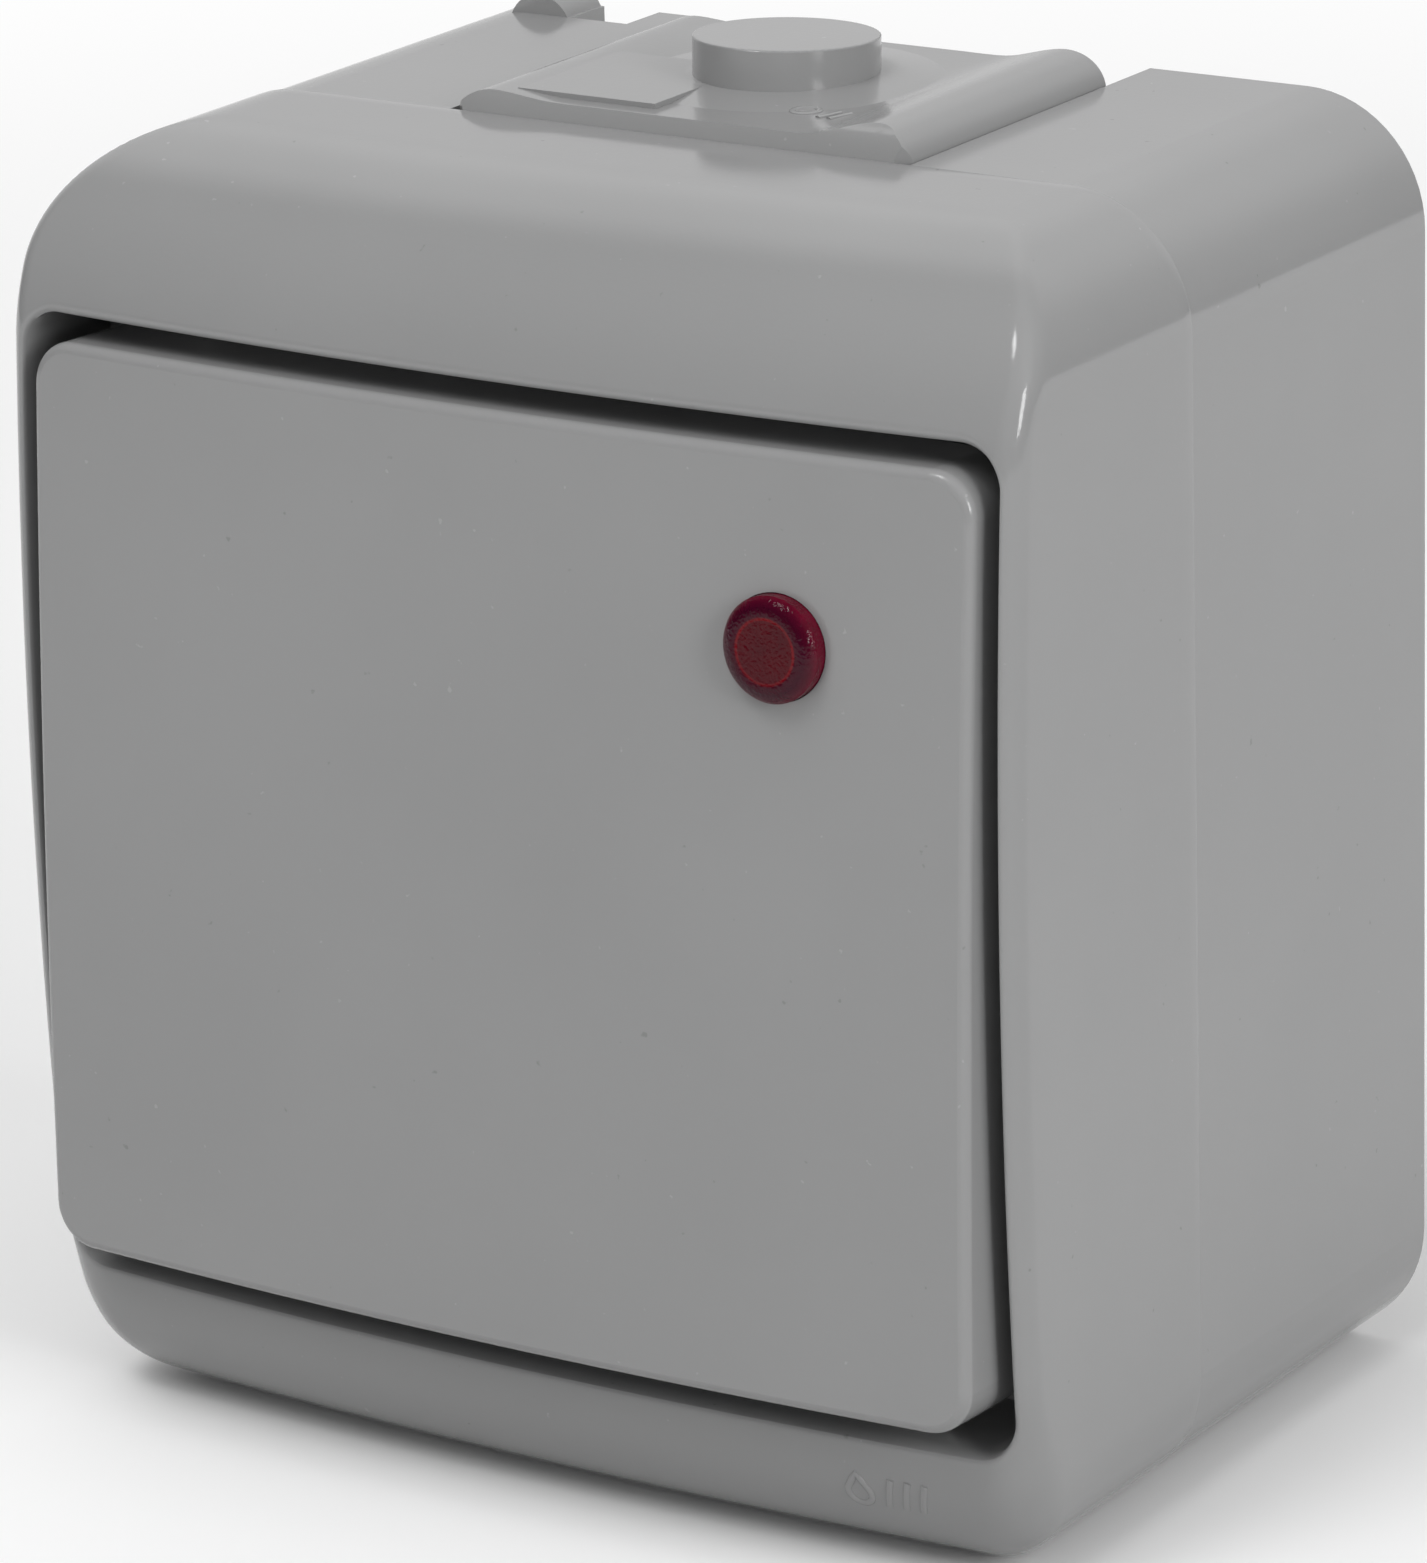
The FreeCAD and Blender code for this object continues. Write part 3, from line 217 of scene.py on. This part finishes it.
def ring(half_x, half_z, radius, shift_z=0.0):
    """Points round a rounded rectangle, side by side with those of every other ring."""
    quarters = []
    for turn in range(4):
        across, along = (half_x, half_z) if turn % 2 == 0 else (half_z, half_x)
        straight = np.linspace(radius - along, along - radius, straight_steps + 1)[:-1]
        angles = np.linspace(0, math.pi / 2, corner_steps + 1)[:-1]
        x = np.concatenate([np.full_like(straight, across), across - radius + radius * np.cos(angles)])
        z = np.concatenate([straight, along - radius + radius * np.sin(angles)])
        cosine = round(math.cos(turn * math.pi / 2))
        sine = round(math.sin(turn * math.pi / 2))
        quarters.append(np.stack([cosine * x - sine * z, sine * x + cosine * z + shift_z], axis=-1))
    return np.concatenate(quarters)


def circle(x, z, radius, count):
    """Points round a circle."""
    angles = np.linspace(0, 2 * math.pi, count + 1)[:-1]
    return np.stack([x + radius * np.cos(angles), z + radius * np.sin(angles)], axis=-1)


def at_depth(flat, y):
    """Flat points set at one depth, or each at its own."""
    return np.stack([flat[:, 0], np.broadcast_to(y, flat[:, 0].shape), flat[:, 1]], axis=-1)


def bulge_depth(flat):
    """Depth of the bulged front at flat points, nearly."""
    return front_y + flat[:, 0] ** 2 / (2 * plan_radius) + flat[:, 1] ** 2 / (2 * upright_radius)


def inset_ring(inset):
    """Ring inside the cover's outline."""
    return ring(half_width - inset, half_height - inset, corner_radius - inset)


def outside_rings(rim, outer, side_end):
    """Rings over the front from the window's rim to the outline, and on along the sides."""
    guesses = []
    for share in np.linspace(0, 1, face_rows):
        flat = rim + (outer - rim) * share
        guesses.append(at_depth(flat, bulge_depth(flat)))
    start = guesses[-1][:, 1]
    for share in np.linspace(0, 1, side_rows)[1:-1] ** side_crowding:
        guesses.append(at_depth(outer, start + (side_end - start) * share))
    return list(settle(skin_distance, np.array(guesses)))


def cover_rings():
    """Rings from the well's floor over the cover's outside and the tongue to the floor's back."""
    rim = ring(window_half_width, window_half_height, window_corner, window_z)
    rings = [at_depth(rim, well_front)]
    wall_end = bulge_depth(rim) + window_round
    for share in np.linspace(wall_first_row, 1, wall_rows):
        rings.append(at_depth(rim, well_front + (wall_end - well_front) * share))
    side_end = seam_y - seam_round
    rings += outside_rings(rim, inset_ring(0), side_end)
    for angle in np.linspace(0, math.pi / 2, seam_rows):
        edge = inset_ring(seam_round * (1 - math.cos(angle)))
        rings.append(at_depth(edge, side_end + seam_round * math.sin(angle)))
    rings.append(at_depth(inset_ring(tongue_outer), seam_y))
    rings.append(at_depth(inset_ring(tongue_outer), tongue_end))
    rings.append(at_depth(inset_ring(tongue_inner), tongue_end))
    rings.append(at_depth(inset_ring(tongue_inner), tongue_root))
    back = ring(window_half_width - back_inset, window_half_height + well_wall, window_corner, window_z)
    rings.append(at_depth(back, well_back))
    return rings


def floor_holes():
    """Outlines of the opening, the two screw holes and the lamp's hole in the well's floor."""
    opening = ring(opening_half_width, opening_half_height, opening_corner, window_z)
    return [
        opening[::opening_thinning],
        circle(screw_x, window_z - screw_z, screw_hole, hole_steps),
        circle(-screw_x, window_z + screw_z, screw_hole, hole_steps),
        circle(lamp_x, lamp_z, lamp_hole, hole_steps),
    ]


def encloses(loop, point):
    """True when a flat point lies inside a loop."""
    x = loop[:, 0] - point[0]
    z = loop[:, 1] - point[1]
    next_x = np.roll(x, -1)
    next_z = np.roll(z, -1)
    turns = np.arctan2(x * next_z - z * next_x, x * next_x + z * next_z)
    return abs(turns.sum()) > math.pi


def plate_faces(border, holes, merge=1e-6):
    """Triangles between a border and its holes."""
    points = []
    edges = []
    for loop in [border] + holes:
        span = list(range(len(points), len(points) + len(loop)))
        edges += list(zip(span, span[1:] + span[:1]))
        points += [Vector(p) for p in loop]
    inside_border = 1
    found = delaunay_2d_cdt(points, edges, [list(range(len(border)))], inside_border, merge)
    corners, _, triangles, origins, _, _ = found
    kept = []
    for triangle in triangles:
        centre = sum((corners[i] for i in triangle), Vector((0, 0))) / 3
        if not any(encloses(loop, centre) for loop in holes):
            kept.append([origins[i][0] for i in triangle])
    return kept


def band(first, second, count):
    """Quads between two closed rings, each given by the number of its first point."""
    quads = []
    for k in range(count):
        n = (k + 1) % count
        quads.append((first + k, first + n, second + n, second + k))
    return quads


def finished(name, points, faces, sharp_degrees):
    """Object with outward, smooth faces that stay sharp past an angle."""
    mesh = bpy.data.meshes.new(name)
    mesh.from_pydata(points, [], faces)
    work = bmesh.new()
    work.from_mesh(mesh)
    bmesh.ops.recalc_face_normals(work, faces=work.faces)
    work.to_mesh(mesh)
    work.free()
    mesh.shade_smooth()
    mesh.set_sharp_from_angle(angle=math.radians(sharp_degrees))
    made = bpy.data.objects.new(name, mesh)
    bpy.context.scene.collection.objects.link(made)
    return made


def cover_object():
    """Closed skin: rings joined by quads, and the well's floor with its holes."""
    rings = cover_rings()
    count = len(rings[0])
    points = [tuple(p * mm) for p in np.concatenate(rings)]
    faces = []
    for number in range(len(rings) - 1):
        faces += band(number * count, (number + 1) * count, count)
    holes = floor_holes()
    in_holes = sum(len(loop) for loop in holes)
    front_first = len(points)
    back_first = front_first + in_holes
    for y in (well_front, well_back):
        points += [tuple(p * mm) for loop in holes for p in at_depth(loop, y)]
    last_ring = (len(rings) - 1) * count
    for border, border_first, hole_first in ((rings[0], 0, front_first), (rings[-1], last_ring, back_first)):
        numbers = list(range(border_first, border_first + count))
        numbers += range(hole_first, hole_first + in_holes)
        for face in plate_faces(border[:, [0, 2]], holes):
            faces.append(tuple(numbers[i] for i in face))
    passed = 0
    for loop in holes:
        faces += band(front_first + passed, back_first + passed, len(loop))
        passed += len(loop)
    return finished("cover_skin", points, faces, cover_sharp_degrees)


def bead(path, across, closed=False):
    """Raised bead along a path of points, with the surface's normal at each."""
    path = np.array(path)
    if closed:
        ahead = np.roll(path, -1, axis=0) - np.roll(path, 1, axis=0)
    else:
        ahead = np.gradient(path, axis=0)
    ahead /= np.linalg.norm(ahead, axis=1, keepdims=True)
    beside = np.cross(ahead, across)
    sections = []
    for angle in np.linspace(0, 2 * math.pi, bead_sides + 1)[:-1]:
        aside = beside * bead_width / 2 * math.cos(angle)
        sections.append(path + aside + across * bead_height * math.sin(angle))
    points = np.stack(sections, axis=1).reshape(-1, 3)
    faces = []
    for i in range(len(path) if closed else len(path) - 1):
        faces += band(i * bead_sides, (i + 1) % len(path) * bead_sides, bead_sides)
    if not closed:
        faces.append(tuple(range(bead_sides)))
        faces.append(tuple((len(path) - 1) * bead_sides + k for k in reversed(range(bead_sides))))
    return points, faces


def joined(parts):
    """One list of points, in metres, and one of faces from several."""
    points = []
    faces = []
    for part_points, part_faces in parts:
        faces += [tuple(i + len(points) for i in face) for face in part_faces]
        points += [tuple(p * mm) for p in part_points]
    return points, faces


def on_cover(flat, rounds=8, share=0.9):
    """Points on the cover under flat points, with the outward normals."""
    guess = at_depth(np.array(flat), bulge_depth(np.array(flat)))
    for _ in range(rounds):
        guess[:, 1] += cover_distance(guess) * share
    normal = slope(cover_distance, guess)
    return guess, normal / np.linalg.norm(normal, axis=1, keepdims=True)


def slanting(x, y, lean, half_length, count):
    """Flat points along a short slanting bar."""
    return [(x + lean * share, y + half_length * share) for share in np.linspace(-1, 1, count)]


def part_way(start, end, shares):
    """Flat points on the line from one point to another."""
    return [tuple(a + (b - a) * share for a, b in zip(start, end)) for share in shares]


def cover_mark():
    """Wordless moulded mark: a drop beside three bars."""
    drop = []
    round_z = drop_z - drop_round_below
    for angle in np.linspace(*np.radians(drop_round_degrees), drop_steps):
        drop.append((drop_x + drop_radius * math.cos(angle), round_z + drop_radius * math.sin(angle)))
    tip = (drop_x, drop_z + drop_tip_above)
    left = part_way(drop[-1], tip, drop_side_shares)
    right = part_way(tip, drop[0], drop_side_shares[:-1])
    beads = [bead(*on_cover(drop + left + right), True)]
    for i in range(bar_count):
        bar = slanting(drop_x + bar_start + bar_pitch * i, drop_z, bar_lean, bar_half_height, bar_steps)
        beads.append(bead(*on_cover(bar)))
    return finished("cover_mark", *joined(beads), mark_sharp_degrees)


def plate_bead(flat, closed=False):
    """Bead on the grommet's plate."""
    path = [(x, y, plate_level) for x, y in flat]
    return bead(path, np.tile((0.0, 0.0, 1.0), (len(path), 1)), closed)


def grommet_mark():
    """Wordless raised mark on the grommet: a ring, two ticks and a dot."""
    beads = [plate_bead(circle(*place, plate_ring_steps), True) for place in (plate_ring, plate_dot)]
    for x in tick_places:
        beads.append(plate_bead(slanting(x, tick_y, tick_lean, tick_half_length, tick_steps)))
    return finished("grommet_mark", *joined(beads), mark_sharp_degrees)


# Shader nodes. A Mix node's sockets go by number, because they share their names.
def node_of(tree, kind, inputs=None, **settings):
    """Shader node with its settings, and its inputs set to values or linked to outputs."""
    node = tree.nodes.new(kind)
    for name, value in settings.items():
        setattr(node, name, value)
    for key, value in (inputs or {}).items():
        if isinstance(value, bpy.types.NodeSocket):
            tree.links.new(value, node.inputs[key])
        else:
            node.inputs[key].default_value = value
    return node


def maths(tree, operation, *values):
    """Result of a sum on outputs or numbers."""
    return node_of(tree, "ShaderNodeMath", dict(enumerate(values)), operation=operation).outputs["Value"]


def vector_maths(tree, operation, *values):
    """Result of a sum on vectors: a number for a dot product or a length, or else a vector."""
    node = node_of(tree, "ShaderNodeVectorMath", dict(enumerate(values)), operation=operation)
    return node.outputs["Value" if operation in ("DOT_PRODUCT", "LENGTH") else "Vector"]


def object_place(tree):
    """Place on the part, in metres."""
    return tree.nodes.new("ShaderNodeTexCoord").outputs["Object"]


def noise(tree, place, scale, detail, roughness):
    """Cloudy pattern; its scale is in waves per metre."""
    inputs = {"Vector": place, "Scale": scale, "Detail": detail, "Roughness": roughness}
    return node_of(tree, "ShaderNodeTexNoise", inputs).outputs["Fac"]


def spread(tree, value, low, high, to_low=0.0, to_high=1.0, interpolation="LINEAR"):
    """Value carried from one range to another."""
    inputs = {"Value": value, "From Min": low, "From Max": high, "To Min": to_low, "To Max": to_high}
    return node_of(tree, "ShaderNodeMapRange", inputs, interpolation_type=interpolation).outputs["Result"]


def mixed_colours(tree, factor, first, second):
    """Colour between two, each written as a tuple or made by another node."""
    ends = [(*tone, 1.0) if isinstance(tone, tuple) else tone for tone in (first, second)]
    inputs = {0: factor, 6: ends[0], 7: ends[1]}
    return node_of(tree, "ShaderNodeMix", inputs, data_type="RGBA").outputs[2]


def mixed_numbers(tree, factor, first, second):
    """Number between two."""
    return node_of(tree, "ShaderNodeMix", {0: factor, 2: first, 3: second}, data_type="FLOAT").outputs[0]


def bumped(tree, height, distance, strength, normal=None):
    """Normal of a surface raised by a pattern, on top of another such normal if there is one."""
    inputs = {"Height": height, "Distance": distance, "Strength": strength}
    if normal:
        inputs["Normal"] = normal
    return node_of(tree, "ShaderNodeBump", inputs).outputs["Normal"]


def material(name):
    """New material with its tree and its shader."""
    made = bpy.data.materials.new(name)
    made.use_nodes = True
    tree = made.node_tree
    tree.nodes.clear()
    shader = tree.nodes.new("ShaderNodeBsdfPrincipled")
    node_of(tree, "ShaderNodeOutputMaterial", {"Surface": shader.outputs["BSDF"]})
    return made, tree, shader


def dress(tree, shader, tone, roughness, normal=None):
    """Link colour, roughness and, where there is a bump, the normal to the shader."""
    tree.links.new(tone, shader.inputs["Base Color"])
    tree.links.new(roughness, shader.inputs["Roughness"])
    if normal:
        tree.links.new(normal, shader.inputs["Normal"])


# Patterns of the materials: waves per metre, detail and roughness
cloud_pattern = (38.0, 3.0, 0.55)
smear_pattern = (75.0, 4.0, 0.6)
wave_pattern = (60.0, 2.0, 0.5)
grain_pattern = (2600.0, 2.0, 0.5)
speck_pattern = (1700.0, 2.0, 0.4)
pit_pattern = (1300.0, 2.0, 0.4)
metal_pattern = (300.0, 5.0, 0.6)
haze_pattern = (300.0, 3.0, 0.5)
lens_pattern = (900.0, 3.0, 0.5)
pebble_pattern = (5200.0, 1.0, 0.5)

# How much of each pattern shows, with heights in metres
cloud_range = (0.35, 0.65)
sheen_range = (0.3, 0.7)
speck_range = (0.76, 0.80)
pit_range = (0.765, 0.80)
speck_share = 0.5
speck_lighter = 1.35
pit_darker = 0.6
wave_height = 0.04 * mm
wave_strength = 0.35
metal_height = 0.01 * mm
metal_strength = 0.5

plastic_ior = 1.5
glass_ior = 1.5
glass_tones = ((0.92, 0.86, 0.78), (0.84, 0.76, 0.66))
glass_roughness = (0.04, 0.10)
glass_clearness = 0.85


def moulded(name, colour, darker, rough, rough_more, grain=0.004, specks=True):
    """Moulded plastic or rubber: faint cloudy tone, fine grain, a few specks, uneven sheen."""
    made, tree, shader = material(name)
    place = object_place(tree)
    cloud = noise(tree, place, *cloud_pattern)
    tone = mixed_colours(tree, spread(tree, cloud, *cloud_range), colour, darker)
    if specks:
        lighter = tuple(min(1.0, level * speck_lighter) for level in colour)
        speck = noise(tree, place, *speck_pattern)
        tone = mixed_colours(tree, spread(tree, speck, *speck_range, 0.0, speck_share), tone, lighter)
        darkest = tuple(level * pit_darker for level in colour)
        pit = noise(tree, place, *pit_pattern)
        tone = mixed_colours(tree, spread(tree, pit, *pit_range, 0.0, speck_share), tone, darkest)
    smear = noise(tree, place, *smear_pattern)
    roughness = spread(tree, smear, *sheen_range, rough, rough_more)
    wave = noise(tree, place, *wave_pattern)
    waved = bumped(tree, wave, wave_height, wave_strength)
    fine = noise(tree, place, *grain_pattern)
    dress(tree, shader, tone, roughness, bumped(tree, fine, grain * mm, 1.0, waved))
    shader.inputs["IOR"].default_value = plastic_ior
    return made


def metal(name, colour, darker, rough, rough_more):
    """Bright metal with a cloudy tone and an uneven sheen."""
    made, tree, shader = material(name)
    streak = noise(tree, object_place(tree), *metal_pattern)
    share = spread(tree, streak, *sheen_range)
    tone = mixed_colours(tree, share, colour, darker)
    roughness = spread(tree, streak, *sheen_range, rough, rough_more)
    dress(tree, shader, tone, roughness, bumped(tree, streak, metal_height, metal_strength))
    shader.inputs["Metallic"].default_value = 1.0
    return made


def glass():
    """Slightly hazy glass of the glow lamp."""
    made, tree, shader = material("lamp_glass")
    haze = noise(tree, object_place(tree), *haze_pattern)
    tone = mixed_colours(tree, spread(tree, haze, *sheen_range), *glass_tones)
    dress(tree, shader, tone, spread(tree, haze, *sheen_range, *glass_roughness))
    shader.inputs["Transmission Weight"].default_value = glass_clearness
    shader.inputs["IOR"].default_value = glass_ior
    return made


# Lens in its own plane: a flat disc, a thin ring where the bore ends, the shoulder and the rim; the bright
# ring and the brighter rim are painted light, the glow of light seen through the lens
lens_centre = Vector((19.25, -45.08, 16.1)) * mm
lens_axis = Vector((0.0, -0.99905, 0.0436))
lens_reach = 3.0 * mm
lens_tones_and_painted_glow = (
    (0.000, (0.088, 0.0012, 0.0060)),
    (0.560, (0.098, 0.0012, 0.0065)),
    # Painted light: a bright ring where the bore ends, as if light came through it
    (0.585, (0.210, 0.0030, 0.0080)),
    (0.605, (0.210, 0.0030, 0.0080)),
    (0.640, (0.060, 0.0020, 0.0130)),
    (0.800, (0.050, 0.0020, 0.0140)),
    # Painted light: the rim brightens outwards, as if lit through its edge
    (0.900, (0.080, 0.0025, 0.0160)),
    (0.980, (0.140, 0.0030, 0.0200)),
)
lens_cloud_share = 0.35
lens_cloud_tone = (0.05, 0.004, 0.010)
pebble_height = 0.06 * mm
pebble_strength = 0.8
lens_roughness = (0.06, 0.10)
lens_clearness = 0.25
lens_ior = 1.49
lens_gloss = 0.10


def lens_share(tree, place):
    """Distance from the lens's axis, as a share of its reach."""
    from_centre = vector_maths(tree, "SUBTRACT", place, lens_centre)
    along = vector_maths(tree, "DOT_PRODUCT", from_centre, lens_axis)
    push = node_of(tree, "ShaderNodeVectorMath", {0: lens_axis, "Scale": along}, operation="SCALE")
    flat = vector_maths(tree, "SUBTRACT", from_centre, push.outputs["Vector"])
    return maths(tree, "DIVIDE", vector_maths(tree, "LENGTH", flat), lens_reach)


def lens():
    """Dark red moulding with a pebbled face that lets a little light through; its ring and rim carry painted
    light.
    """
    made, tree, shader = material("lens_red")
    place = object_place(tree)
    # Tones across the lens, with the painted light of its ring and rim
    ramp = node_of(tree, "ShaderNodeValToRGB", {"Fac": lens_share(tree, place)})
    stops = ramp.color_ramp.elements
    for share, tone in lens_tones_and_painted_glow:
        stop = stops[0] if share == 0.0 else stops.new(share)
        stop.color = (*tone, 1.0)
    stops.remove(stops[-1])
    cloud = noise(tree, place, *lens_pattern)
    deeper = spread(tree, cloud, *cloud_range, 0.0, lens_cloud_share)
    tone = mixed_colours(tree, deeper, ramp.outputs["Color"], lens_cloud_tone)
    pebble = noise(tree, place, *pebble_pattern)
    normal = bumped(tree, pebble, pebble_height, pebble_strength)
    dress(tree, shader, tone, spread(tree, cloud, *sheen_range, *lens_roughness), normal)
    shader.inputs["Transmission Weight"].default_value = lens_clearness
    shader.inputs["IOR"].default_value = lens_ior
    shader.inputs["Specular IOR Level"].default_value = lens_gloss
    return made


# Each finish: its two tones, then its lowest and highest roughness
grey = (0.280, 0.281, 0.282)
grey_dark = (0.268, 0.269, 0.270)
housing = moulded("housing_plastic", grey, grey_dark, 0.09, 0.14)
rocker_plastic = moulded("rocker_plastic", grey, grey_dark, 0.15, 0.20)
rubber = moulded("grommet_rubber", (0.275, 0.276, 0.277), (0.262, 0.263, 0.264), 0.12, 0.18, grain=0.005)
black = (0.022, 0.022, 0.022)
black_deep = (0.016, 0.016, 0.016)
seal = moulded("seal_rubber", black, black_deep, 0.6, 0.7, grain=0.008, specks=False)
insert = moulded("insert_plastic", (0.70, 0.69, 0.66), (0.66, 0.65, 0.61), 0.42, 0.52)
carrier = moulded("carrier_plastic", (0.50, 0.49, 0.46), (0.46, 0.45, 0.42), 0.40, 0.50)
resistor = moulded("resistor_lacquer", (0.50, 0.36, 0.22), (0.44, 0.31, 0.18), 0.25, 0.35, specks=False)
brass = metal("brass", (0.80, 0.62, 0.30), (0.70, 0.50, 0.22), 0.22, 0.38)
steel = metal("zinc_plated_steel", (0.66, 0.66, 0.64), (0.56, 0.56, 0.55), 0.24, 0.40)
silver = metal("silver_contact", (0.86, 0.85, 0.82), (0.78, 0.77, 0.74), 0.18, 0.30)

finish = {
    "back_box": housing, "cable_grommet": rubber, "cover_gasket": seal, "mechanism_seal": seal,
    "mechanism_base": insert, "mechanism_frame": insert, "rocker_button": rocker_plastic,
    "indicator_lens": lens(), "rocker_carrier": carrier, "spring_plunger": carrier, "toggle_spring": steel,
    "contact_lever": brass, "moving_contacts": silver, "common_strip": brass, "upper_strip": brass,
    "lower_strip": brass, "fixed_contacts": silver, "terminal_cages": brass, "terminal_screws": steel,
    "lamp_holder": carrier, "glow_lamp": glass(), "lamp_resistor": resistor, "lamp_leads": steel,
    "cover_screws": steel, "mechanism_screws": steel,
}
for name, look in finish.items():
    piece = nodes[name]
    if not piece.material_slots:
        piece.data.materials.append(look)
    for carried in piece.material_slots:
        carried.material = look

cover = cover_object()
cover.data.materials.append(housing)
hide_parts("front_cover")
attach(cover, "housing")
for mark, look, slot in ((cover_mark(), housing, "housing"), (grommet_mark(), rubber, "grommet")):
    mark.data.materials.append(look)
    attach(mark, "housing")

# Floor, in metres: a pale sheet that runs out to white away from the part
floor_half = 0.60
floor_near = 0.12
floor_far = 0.42
floor_pale = (0.92, 0.92, 0.92)
floor_bounce = (0.50, 0.50, 0.50)


def seen_directly(tree):
    """One for rays of the camera, of gloss and of clear pieces, nothing for soft light."""
    ray = tree.nodes.new("ShaderNodeLightPath")
    return maths(tree, "SUBTRACT", 1.0, ray.outputs["Is Diffuse Ray"])


def floor_material():
    """Sheet that is pale where it is seen and gives back half of the light that falls on it."""
    made = bpy.data.materials.new("pale_floor")
    made.use_nodes = True
    tree = made.node_tree
    tree.nodes.clear()
    seen = seen_directly(tree)
    tone = mixed_colours(tree, seen, floor_bounce, floor_pale)
    sheet = node_of(tree, "ShaderNodeBsdfDiffuse", {"Color": tone}).outputs["BSDF"]
    white = tree.nodes.new("ShaderNodeEmission").outputs["Emission"]
    reach = vector_maths(tree, "LENGTH", object_place(tree))
    away = spread(tree, reach, floor_near, floor_far, interpolation="SMOOTHSTEP")
    whiteness = maths(tree, "MULTIPLY", away, seen)
    both = node_of(tree, "ShaderNodeMixShader", {"Fac": whiteness, 1: sheet, 2: white}).outputs["Shader"]
    node_of(tree, "ShaderNodeOutputMaterial", {"Surface": both})
    return made


floor_mesh = bpy.data.meshes.new("floor")
low, high = -floor_half, floor_half
floor_mesh.from_pydata([(low, low, 0), (high, low, 0), (high, high, 0), (low, high, 0)], [], [(0, 1, 2, 3)])
floor_mesh.materials.append(floor_material())
floor = bpy.data.objects.new("floor", floor_mesh)
floor.location.z = cad_box[0][2]
bpy.context.scene.collection.objects.link(floor)


def heading(azimuth, elevation):
    """Direction from the part: azimuth 0 is its front, 90 its right, 180 the wall behind it."""
    turn = math.radians(azimuth)
    rise = math.radians(elevation)
    level = math.cos(rise)
    return Vector((math.sin(turn) * level, -math.cos(turn) * level, math.sin(rise)))


# Soft light: strengths from the right, back and top, then from the left, front and below
soft_first = (0.10, 0.45, 0.58)
soft_second = (0.35, 0.0, 0.0)
# What gloss shows in a dim room: direction, cosines where it starts and is full, and strength
dim = 0.016
shown = (
    (heading(-150, 18), (0.52, 0.80), 0.72),       # white backdrop behind the part
    (heading(-138, 46), (0.84, 0.98), 0.32),       # brighter place high on it
    (heading(140, 15), (0.85, 0.97), 0.16),        # backdrop behind the right
    (heading(78, 42), (0.85, 0.98), 0.24),         # glow above the key lamp
    (heading(-17, 62), (0.985, 0.998), 11.0),      # small bright spot high in front
)


def soft_light(tree, way):
    """Soft light of six sides, each fading as the square of the direction's share."""
    total = 0.0
    for sign, strengths in ((1.0, soft_first), (-1.0, soft_second)):
        facing = vector_maths(tree, "MULTIPLY", way, (sign, sign, sign))
        facing = vector_maths(tree, "MAXIMUM", facing, (0.0, 0.0, 0.0))
        squared = vector_maths(tree, "MULTIPLY", facing, facing)
        total = maths(tree, "ADD", vector_maths(tree, "DOT_PRODUCT", squared, strengths), total)
    return total


def shown_light(tree, way):
    """What gloss and clear pieces show."""
    total = dim
    for side, cosines, strength in shown:
        near = vector_maths(tree, "DOT_PRODUCT", way, side)
        patch = spread(tree, near, *cosines, 0.0, strength, interpolation="SMOOTHSTEP")
        total = maths(tree, "ADD", patch, total)
    return total


def set_world():
    """White for the camera, soft light for matt surfaces, and the dim room for gloss."""
    world = bpy.data.worlds.new("studio")
    bpy.context.scene.world = world
    world.use_nodes = True
    tree = world.node_tree
    tree.nodes.clear()
    way = tree.nodes.new("ShaderNodeTexCoord").outputs["Generated"]
    ray = tree.nodes.new("ShaderNodeLightPath").outputs
    room = mixed_numbers(tree, ray["Is Diffuse Ray"], shown_light(tree, way), soft_light(tree, way))
    strength = mixed_numbers(tree, ray["Is Camera Ray"], room, 1.0)
    light = node_of(tree, "ShaderNodeBackground", {"Color": (1.0, 1.0, 1.0, 1.0), "Strength": strength})
    node_of(tree, "ShaderNodeOutputWorld", {"Surface": light.outputs["Background"]})


set_world()

# Lamps: azimuth and elevation in degrees, width and height in metres, power, and whether gloss shows it
lamp_distance = 0.90
lamps = {
    "key": (68, 17, 0.20, 0.30, 1.9, True),
    "high": (-10, 60, 0.7, 0.7, 2.9, False),
    "front_low": (-20, 4, 0.5, 0.5, 1.8, False),
    "right": (80, 28, 0.5, 0.5, 2.3, False),
    "right_low": (80, 4, 0.5, 0.5, 1.3, False),
    "left": (-60, 60, 0.5, 0.5, 0.2, False),
}


def area_lamp(name, azimuth, elevation, width, height, power, in_gloss):
    """Flat lamp that faces the part."""
    data = bpy.data.lights.new(name, "AREA")
    data.shape = "RECTANGLE"
    data.size = width
    data.size_y = height
    data.energy = power
    lamp = bpy.data.objects.new(name, data)
    bpy.context.scene.collection.objects.link(lamp)
    side = heading(azimuth, elevation)
    lamp.location = side * lamp_distance
    lamp.rotation_euler = (-side).to_track_quat("-Z", "Y").to_euler()
    lamp.visible_glossy = in_gloss


for name, values in lamps.items():
    area_lamp(name, *values)

# Camera, from the fit to the photo's edges
camera_lens = 182.41
camera_sensor = 36.0
camera_nearest = 0.01
camera_place = Vector((236.41, -383.48, 138.53)) * mm
camera_azimuth = 33.3517
camera_elevation = 17.9486
camera_roll = -1.6181
camera_data = bpy.data.cameras.new("camera")
camera_data.sensor_width = camera_sensor
camera_data.sensor_fit = "AUTO"
camera_data.lens = camera_lens
camera_data.clip_start = camera_nearest
camera = bpy.data.objects.new("camera", camera_data)
bpy.context.scene.collection.objects.link(camera)
level = heading(camera_azimuth, camera_elevation).to_track_quat("Z", "Y").to_matrix()
turned = level @ Matrix.Rotation(math.radians(camera_roll), 3, "Z")
camera.matrix_world = Matrix.Translation(camera_place) @ turned.to_4x4()
bpy.context.scene.camera = camera
bpy.context.scene.view_settings.view_transform = "Standard"
